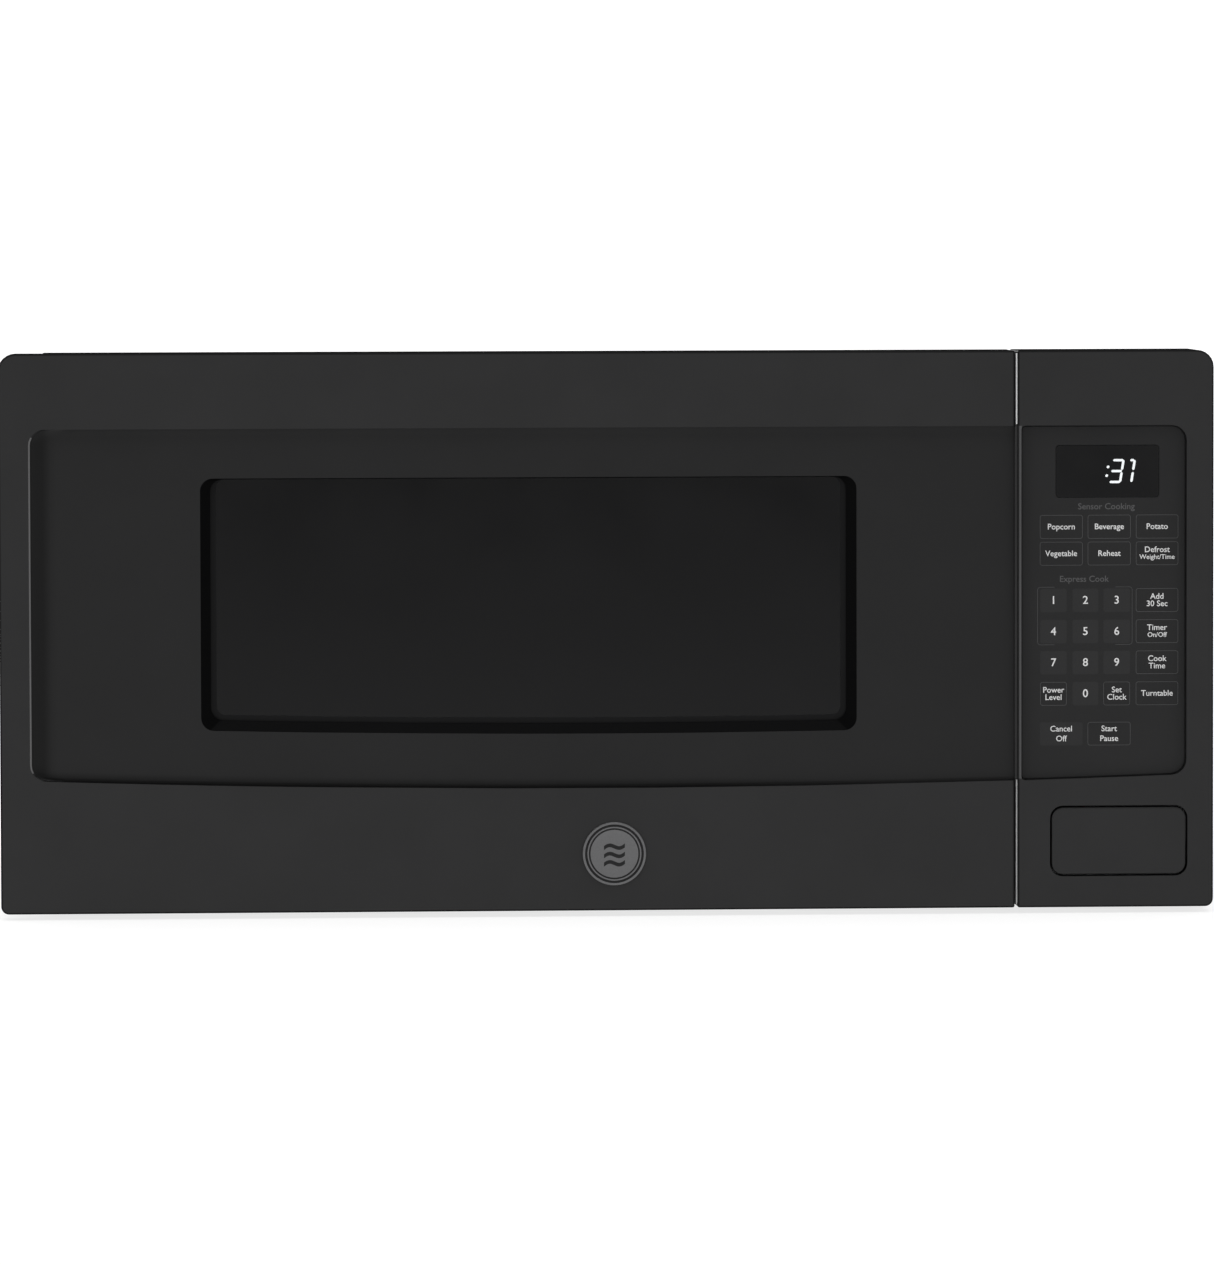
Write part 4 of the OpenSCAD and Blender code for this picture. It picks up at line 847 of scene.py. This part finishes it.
def panel_shell():
    shell = plate("panel_shell", PANEL_LOW, PANEL_HIGH, (MM, CORNER_TOP, CORNER_LOW, MM), RIM)
    recess = curved_slab("panel_recess", PANEL_RECESS_LEFT, PANEL_RECESS_RIGHT,
                         BOTTOM + BORDER_LOW, TOP - BORDER_TOP, FRONT - PAST, SHEET_HIGH.y,
                         [2 * MM, 7.5 * MM, 7.5 * MM, 2 * MM])
    cut_away(shell, recess)
    inside_front = SHEET_HIGH.y + WALL
    cut_away(shell, plate("hollow", (PANEL_LOW.x + WALL, inside_front, BOTTOM + WALL),
                          (RIGHT - WALL, PANEL_HIGH.y + PAST, TOP - WALL),
                          (MM, CORNER_TOP - WALL, CORNER_LOW - WALL, MM)))
    gap = Vector((BUTTON_GAP, 0, BUTTON_GAP))
    corner = BUTTON_CORNER + BUTTON_GAP
    low = Vector((BUTTON_LOW.x, FRONT - PAST, BUTTON_LOW.z)) - gap
    high = Vector((BUTTON_HIGH.x, inside_front + PAST, BUTTON_TOP)) + gap
    cut_away(shell, plate("button_hole", low, high, [corner] * 4))
    cut_away(shell, block("display_hole", (DISPLAY_LOW.x, RECESS - PAST, DISPLAY_LOW.z),
                          (DISPLAY_HIGH.x, inside_front + PAST, DISPLAY_HIGH.z)))
    tidy_flats(shell)
    soften(shell)
    finish(shell, SHELL_CHARCOAL_PAINTED_LIGHT, "oven", "front_charcoal", "control_panel_frame")
    # Painted shade: the keypad recess's left wall is near black
    shaded_side = moulding("recess_wall_black", (0.003, 0.003, 0.003), 0.5, specular_ior_level=0.05)
    paint_faces(shell, shaded_side, lambda f: abs(f.center.x - PANEL_RECESS_LEFT) < 0.7 * MM
                and BOTTOM + BORDER_LOW < f.center.z < TOP - BORDER_TOP
                and f.center.y > FRONT + 0.15 * MM)
    paint_rim_shade(shell, PANEL_LOW, PANEL_HIGH)


def gap_painted_light_strips():
    """Strip in the gap beside the door, painted light: a bright painted highlight at the top, a
    dimmer one below, and painted shade by the recess.
    """
    gap = PANEL_LOW.x - DOOR_RIGHT
    front = FRONT + 0.9 * MM
    # Bright and dim painted highlights, and painted shade by the recess
    pale = bright_metal("gap_strip_painted_highlight", (0.75, 0.75, 0.75), 0.45, (60, 60, 900))
    dull = bright_metal("gap_strip_dim_painted_highlight", (0.42, 0.42, 0.42), 0.5, (60, 60, 900))
    dark = moulding("edge_strip_dark", (0.03, 0.03, 0.03), 0.5, specular_ior_level=0.1)
    for name, z0, z1, start, material in (
            ("edge_strip_low", BOTTOM + 1.5 * MM, BOTTOM + BORDER_LOW + 3 * MM, 0.35, dull),
            ("edge_strip_middle", BOTTOM + BORDER_LOW + 3.2 * MM, TOP - BORDER_TOP + 0.6 * MM,
             0.1, dark),
            ("edge_strip_top", TOP - BORDER_TOP + 0.8 * MM, TOP - 1.5 * MM, 0.3, pale)):
        strip = block(name, (DOOR_RIGHT + start * gap, front, z0),
                      (PANEL_LOW.x + 0.1 * MM, FRONT + 4 * MM, z1))
        round_front(strip, front, 0.3 * MM, 3)
        shade(strip)
        finish(strip, material, "oven", "badge_metal")


def button_cap():
    """Push button: a hollow cap with a soft rim, and the stem that tips the lever."""
    low = BUTTON_LOW
    high = Vector((BUTTON_HIGH.x, BUTTON_LOW.y + BUTTON_DEEP, BUTTON_TOP))
    cap = plate("push_button_cap", low, high, [BUTTON_CORNER] * 4, 1.1 * MM)
    cut_away(cap, plate("hollow", low + Vector((WALL, WALL, WALL)),
                        high + Vector((-WALL, PAST, -WALL)), [BUTTON_CORNER - WALL] * 4))
    stem_x, stem_z, nose = low.x + STEM_X, low.z + STEM_Z, BUTTON_HIGH.y - STEM_TIP
    stem = block("stem", (stem_x - STEM_HALF, low.y + WALL - 0.2 * MM, stem_z - STEM_HALF),
                 (stem_x + STEM_HALF, nose, stem_z + STEM_HALF))
    fuse(stem, block("tip", (stem_x - STEM_HALF, nose - MM, stem_z - STEM_HALF),
                     (stem_x + STEM_HALF, BUTTON_HIGH.y, stem_z + 0.5 * MM)))
    fuse(cap, stem)
    tidy_flats(cap)
    soften(cap, 0.3 * MM)
    finish(cap, FINISHES["front_charcoal"], "push_button", "front_charcoal", "release_button")


def squeezed_spring(node, body, axis, fixed_end):
    """Merged, shaded copy of a CAD coil, put on the body. It does not shorten; the anchor at its
    fixed end is worked out but not used.
    """
    low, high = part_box(node)
    place = "XYZ".index(axis)
    coil = bpy.data.objects.new(node + "_coil", NODES[node].data.copy())
    bpy.context.scene.collection.objects.link(coil)
    hold(coil)
    bpy.ops.object.mode_set(mode="EDIT")
    bpy.ops.mesh.select_all(action="SELECT")
    bpy.ops.mesh.remove_doubles(threshold=0.001 * MM)
    done()
    shade(coil)
    finish(coil, FINISHES["spring_steel"], body, "spring_steel", node)
    anchor = (low + high) / 2
    anchor[place] = fixed_end
    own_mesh(coil)


def keypad_sheet():
    """Film over the keys, cut out round the display."""
    sheet = curved_slab("keypad_sheet", SHEET_LOW.x, SHEET_HIGH.x, BOTTOM + BORDER_LOW + 0.5 * MM,
                        SHEET_HIGH.z, RECESS, SHEET_HIGH.y, [1.6 * MM, 7 * MM, 7 * MM, 1.6 * MM])
    cut_away(sheet, plate("opening", (DISPLAY_LOW.x, RECESS - PAST, DISPLAY_LOW.z),
                          (DISPLAY_HIGH.x, SHEET_HIGH.y + PAST, DISPLAY_HIGH.z), [1.8 * MM] * 4))
    tidy_flats(sheet)
    soften(sheet, 0.12 * MM)
    finish(sheet, FINISHES["keypad_film"], "oven", "keypad_film", "keypad_membrane")


def display_lens():
    lens = plate("display_lens", LENS_LOW, LENS_HIGH, [1.7 * MM] * 4)
    soften(lens, 0.2 * MM)
    finish(lens, FINISHES["display_lens"], "oven", "display_lens", "display_window")


# Keys, in millimetres: left and right of each column, bottom and top of each row
KEY_COLUMNS = ((218.6, 240.3), (242.9, 264.7), (267.4, 288.9))
KEY_ROWS = ((189.7, 201.7), (176.2, 188.1))
PAD_COLUMNS = ((218.8, 232.2), (235.2, 248.3), (250.9, 264.4))
PAD_ROWS = ((152.5, 164.4), (136.7, 148.6), (121.0, 132.8), (105.2, 117.1))
START_ROW = (84.9, 96.7)
GROUP_COLUMN, GROUP_ROW = (217.3, 265.6), (135.9, 165.3)
KEY_CORNER = 1.2
WORD_H, SMALL_H, DIGIT_H, HEADING_H = 3.0, 2.45, 4.2, 3.2


def key_ends(column, row, proud):
    """Opposite corners of a print that stands proud of the film by that much."""
    return (Vector((column[0] * MM, RECESS - proud, row[0] * MM)),
            Vector((column[1] * MM, RECESS + SAME, row[1] * MM)))


def key_outline(column, row, corner=KEY_CORNER, line=0.22):
    """Thin printed frame round a key."""
    low, high = key_ends(column, row, PRINT)
    ring = plate("outline", low, high, [corner * MM] * 4)
    edge = Vector((line, 0, line)) * MM
    deep = Vector((0, PAST, 0))
    cut_away(ring, plate("inner", low + edge - deep, high - edge + deep,
                         [(corner - line) * MM] * 4))
    return ring


def key_pad(column, row):
    """Lighter field under a number, lower than the outlines."""
    return plate("pad", *key_ends(column, row, 0.4 * PRINT), [KEY_CORNER * MM] * 4)


def legend(words, x, z, height, surface=RECESS):
    """Word or number printed a hair proud of a surface, centred at x and z in millimetres."""
    deselect()
    bpy.ops.object.text_add(location=(x * MM, surface - PRINT / 2, z * MM),
                            rotation=(math.pi / 2, 0, 0))
    text = bpy.context.object
    text.data.body = words
    text.data.size = height * 1.37 * MM
    text.data.align_x = "CENTER"
    text.data.align_y = "CENTER"
    text.data.extrude = PRINT / 2
    text.data.offset = height * 0.012 * MM
    text.data.resolution_u = 3
    bpy.ops.object.convert(target="MESH")
    return settle("legend")


def middle(span):
    return (span[0] + span[1]) / 2


def two_lines(upper, lower, column, row, small=WORD_H, apart=3.7):
    x, z = middle(column), middle(row)
    return [legend(upper, x, z + apart / 2, WORD_H), legend(lower, x, z - apart / 2, small)]


def keypad_print():
    """Key frames, lighter number pads, numbers and plain words."""
    outlines = [key_outline(c, r) for r in KEY_ROWS for c in KEY_COLUMNS]
    outlines += [key_outline(KEY_COLUMNS[2], r) for r in PAD_ROWS]
    outlines += [key_outline(PAD_COLUMNS[0], PAD_ROWS[3]), key_outline(PAD_COLUMNS[2], PAD_ROWS[3]),
                 key_outline(KEY_COLUMNS[1], START_ROW)]
    group = key_outline(GROUP_COLUMN, GROUP_ROW, 1.6, 0.2)
    outlines.append(cut_away(group, block("break", (226 * MM, RECESS - PAST, 130 * MM),
                                          (257 * MM, RECESS + PAST, 170 * MM))))
    grey = moulding("outline_print", (0.075, 0.075, 0.077), 0.5, 900, 0.01 * MM,
                    specular_ior_level=LOW_SHEEN)
    finish(join("key_outlines", outlines), grey, "oven", "keypad_film")

    pads = [key_pad(c, r) for r in PAD_ROWS[:3] for c in PAD_COLUMNS]
    pads += [key_pad(PAD_COLUMNS[1], PAD_ROWS[3]), key_pad(KEY_COLUMNS[0], START_ROW)]
    raised = moulding("pad_print", (0.0245, 0.0245, 0.025), 0.4, 1500, 0.01 * MM,
                      specular_ior_level=LOW_SHEEN)
    finish(join("number_pads", pads), raised, "oven", "keypad_film")

    words = []
    for i, number in enumerate("123456789"):
        words.append(legend(number, middle(PAD_COLUMNS[i % 3]), middle(PAD_ROWS[i // 3]), DIGIT_H))
    words.append(legend("0", middle(PAD_COLUMNS[1]), middle(PAD_ROWS[3]), DIGIT_H))
    for row, names in zip(KEY_ROWS, (("Popcorn", "Beverage", "Potato"), ("Vegetable", "Reheat"))):
        for column, name in zip(KEY_COLUMNS, names):
            words.append(legend(name, middle(column), middle(row), WORD_H))
    words += two_lines("Defrost", "Weight/Time", KEY_COLUMNS[2], KEY_ROWS[1], SMALL_H)
    for row, (upper, lower, small) in zip(PAD_ROWS, (
            ("Add", "30 Sec", WORD_H), ("Timer", "On/Off", SMALL_H), ("Cook", "Time", WORD_H))):
        words += two_lines(upper, lower, KEY_COLUMNS[2], row, small)
    words.append(legend("Turntable", middle(KEY_COLUMNS[2]), middle(PAD_ROWS[3]), WORD_H))
    words += two_lines("Power", "Level", PAD_COLUMNS[0], PAD_ROWS[3])
    words += two_lines("Set", "Clock", PAD_COLUMNS[2], PAD_ROWS[3])
    words += two_lines("Cancel", "Off", KEY_COLUMNS[0], START_ROW, WORD_H, 5.0)
    words += two_lines("Start", "Pause", KEY_COLUMNS[1], START_ROW, WORD_H, 5.0)
    white = moulding("legend_print", (0.68, 0.68, 0.68), 0.5, 900, 0.01 * MM)
    finish(join("key_legends", words), white, "oven", "keypad_film")

    dim = moulding("heading_print", (0.085, 0.085, 0.087), 0.5, 900, 0.01 * MM,
                   specular_ior_level=LOW_SHEEN)
    headings = [legend("Sensor Cooking", 252.3, 205.9, HEADING_H + 0.05),
                legend("Express Cook", 241, 169.2, HEADING_H)]
    finish(join("key_headings", headings), dim, "oven", "keypad_film")


# The display, in millimetres: which bars each figure lights, sizes and places
BARS = {"3": "abcdg", "1": "bcf"}
FIGURE_W, FIGURE_H, BAR_HALF = 6.5, 12.2, 0.6
FIGURE_BASE = LENS_LOW.z / MM + 7.1
FIGURES = (("3", 253.3), ("1", 259.0))
DOT_X, DOT_RISE, DOT_R = 251.9, (3.8, 8.2), 0.7
FIGURE_SLANT = 9


def segment(x, z, size, upright):
    """One pointed bar of a figure."""
    half = (BAR_HALF, size / 2) if upright else (size / 2, BAR_HALF)
    low = Vector((x - half[0], 0, z - half[1])) * MM
    high = Vector((x + half[0], 0, z + half[1])) * MM
    low.y, high.y = LENS_LOW.y - PRINT, LENS_LOW.y + SAME
    bar = block("bar", low, high)
    round_edges(bar, runs_back, 0.45 * MM, 1)
    return bar


def figure(character, x, z):
    """Figure whose lower left corner is at x and z."""
    middle_x, right, top = x + FIGURE_W / 2, x + FIGURE_W - BAR_HALF, z + FIGURE_H - BAR_HALF
    tall = FIGURE_H / 2 - 1.1
    places = {
        "a": (middle_x, top, FIGURE_W - 1.3, False),
        "g": (middle_x, z + FIGURE_H / 2, FIGURE_W - 1.1, False),
        "d": (middle_x, z + BAR_HALF, FIGURE_W - 1.1, False),
        "b": (right, z + FIGURE_H * 0.75, tall, True),
        "c": (right, z + FIGURE_H * 0.25, tall, True),
        "f": (x + FIGURE_W - 1.9, top, 2.0, False),
    }
    return [segment(*places[bar]) for bar in BARS[character]]


def display_digits():
    """Slanted figures and the two dots before them."""
    base = FIGURE_BASE
    bars = [bar for character, x in FIGURES for bar in figure(character, x, base)]
    bars += [rod("dot", (DOT_X * MM, LENS_LOW.y - PRINT, (base + rise) * MM), DOT_R * MM,
                 PRINT + SAME, 16) for rise in DOT_RISE]
    digits = join("display_digits", bars)
    slant = Matrix.Identity(4)
    slant[0][2] = math.tan(math.radians(FIGURE_SLANT))
    digits.data.transform(Matrix.Translation((0, 0, base * MM)) @ slant
                          @ Matrix.Translation((0, 0, -base * MM)))
    glow = moulding("display_glow", (0.7, 0.72, 0.72), 0.4, 900, 0.005 * MM,
                    emission_color=(0.9, 0.95, 1.0, 1), emission_strength=0.35)
    finish(digits, glow, "oven", "display_tube")


# ---------------------------------------------------------------- studio

# Studio, in metres; the walls stand outside every view's camera
STUDIO_CENTRE, STUDIO_SIZE, STUDIO_HEIGHT = (0, -13), (60, 54), 5
STUDIO_CURVE = 1.2
PAPER = (0.3, 0.3, 0.3)
# How bright the paper is along Y: whitest behind the oven, dimmer behind the camera
PAPER_GLOW = [(-20, 0.7), (-11, 0.27), (-6.5, 0.27), (-1.6, 0.76), (0.5, 0.76), (3, 1)]
AIR_GLOW = 0.25


def soft_lamp(name, place, aim, size, power):
    light = bpy.data.lights.new(name, "AREA")
    light.shape, light.size, light.size_y = "RECTANGLE", size[0], size[1]
    light.energy = power
    lamp = bpy.data.objects.new(name, light)
    bpy.context.scene.collection.objects.link(lamp)
    lamp.location = place
    lamp.rotation_euler = (Vector(aim) - Vector(place)).to_track_quat("-Z", "Y").to_euler()


def studio():
    """White floor that curves up all round, soft lamps above, to both sides and behind."""
    deselect()
    bpy.ops.mesh.primitive_plane_add(size=1, location=(*STUDIO_CENTRE, STUDIO_HEIGHT))
    bpy.context.object.scale = (*STUDIO_SIZE, 1)
    floor = settle("studio_floor")
    choose(floor, "FACE", lambda f: True)
    bpy.ops.mesh.extrude_region_move(TRANSFORM_OT_translate={"value": (0, 0, -STUDIO_HEIGHT)})
    done()
    choose(floor, "FACE", lambda f: all(near(v.co.z, STUDIO_HEIGHT) for v in f.verts))
    bpy.ops.mesh.delete(type="FACE")
    done()
    round_edges(floor, lambda e: all(near(v.co.z, 0) for v in e.verts), STUDIO_CURVE, 12)
    hold(floor)
    bpy.ops.object.shade_smooth()
    paper = Finish("studio_paper", PAPER, 0.9, emission_color=(1, 1, 1, 1),
                   emission_strength=1.0)
    paper.colour(paper.noise(3, 2), shades(PAPER, 0.99, 1.0))
    _, y, _ = paper.axes()
    paper.link(paper.level(y, PAPER_GLOW), paper.shader.inputs["Emission Color"])
    floor.data.materials.append(paper.material)

    world = bpy.data.worlds.new("studio_air")
    bpy.context.scene.world = world
    world.use_nodes = True
    air = world.node_tree.nodes["Background"]
    air.inputs["Color"].default_value = (1, 1, 1, 1)
    air.inputs["Strength"].default_value = AIR_GLOW

    soft_lamp("top_lamp", (0, -0.4, 2.6), (0, 0, 0), (3.2, 2.4), 53)
    soft_lamp("left_lamp", (-2.6, -1.6, 1.1), (0, 0, 0.15), (1.2, 1.8), 20)
    soft_lamp("right_lamp", (2.6, -1.4, 1.0), (0, 0, 0.15), (1.2, 1.8), 12)
    soft_lamp("backdrop_lamp", (0, 1.6, 2.8), (0, 3.4, 0.8), (4, 0.8), 55)


EYE = (-0.2079, -4.199, 0.360)
EYE_ANGLES = (2.962, 3.092, -0.148)  # yaw, pitch and roll, in degrees
FILM_WIDTH, FOCAL_LENGTH = 36, 226.4


def camera():
    """Long lens, slightly to the left of the middle and a little above the top edge."""
    lens = bpy.data.cameras.new("camera")
    lens.sensor_width, lens.lens = FILM_WIDTH, FOCAL_LENGTH
    lens.clip_start, lens.clip_end = 0.1, 60
    eye = bpy.data.objects.new("camera", lens)
    bpy.context.scene.collection.objects.link(eye)
    yaw, pitch, roll = (math.radians(a) for a in EYE_ANGLES)
    turn = Euler((math.pi / 2 - pitch, 0, -yaw)).to_matrix() @ Matrix.Rotation(roll, 3, "Z")
    eye.matrix_world = Matrix.Translation(EYE) @ turn.to_4x4()
    bpy.context.scene.camera = eye


# ---------------------------------------------------------------- assembly

# Shell copy: painted shade on the rim and walls, and a painted highlight on the lip
SHELL_CHARCOAL_PAINTED_LIGHT = charcoal_painted_light("charcoal_painted_light", LOW_SHEEN, 0.85)
# Rim and top wall copy: no sheen, and painted shade that darkens its walls further
RIM_SHADE_CHARCOAL = charcoal_painted_light("rim_charcoal_painted_shade", 0.0, 0.45)
clothe_nodes()
door_shell()
window_pane()
badge()
panel_shell()
gap_painted_light_strips()
button_cap()
squeezed_spring("button_spring", "oven", "Y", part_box("button_spring")[1].y)
squeezed_spring("latch_spring", "door", "Z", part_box("latch_spring")[1].z)
keypad_sheet()
display_lens()
keypad_print()
display_digits()
studio()
camera()
bpy.context.scene.view_settings.view_transform = "Standard"
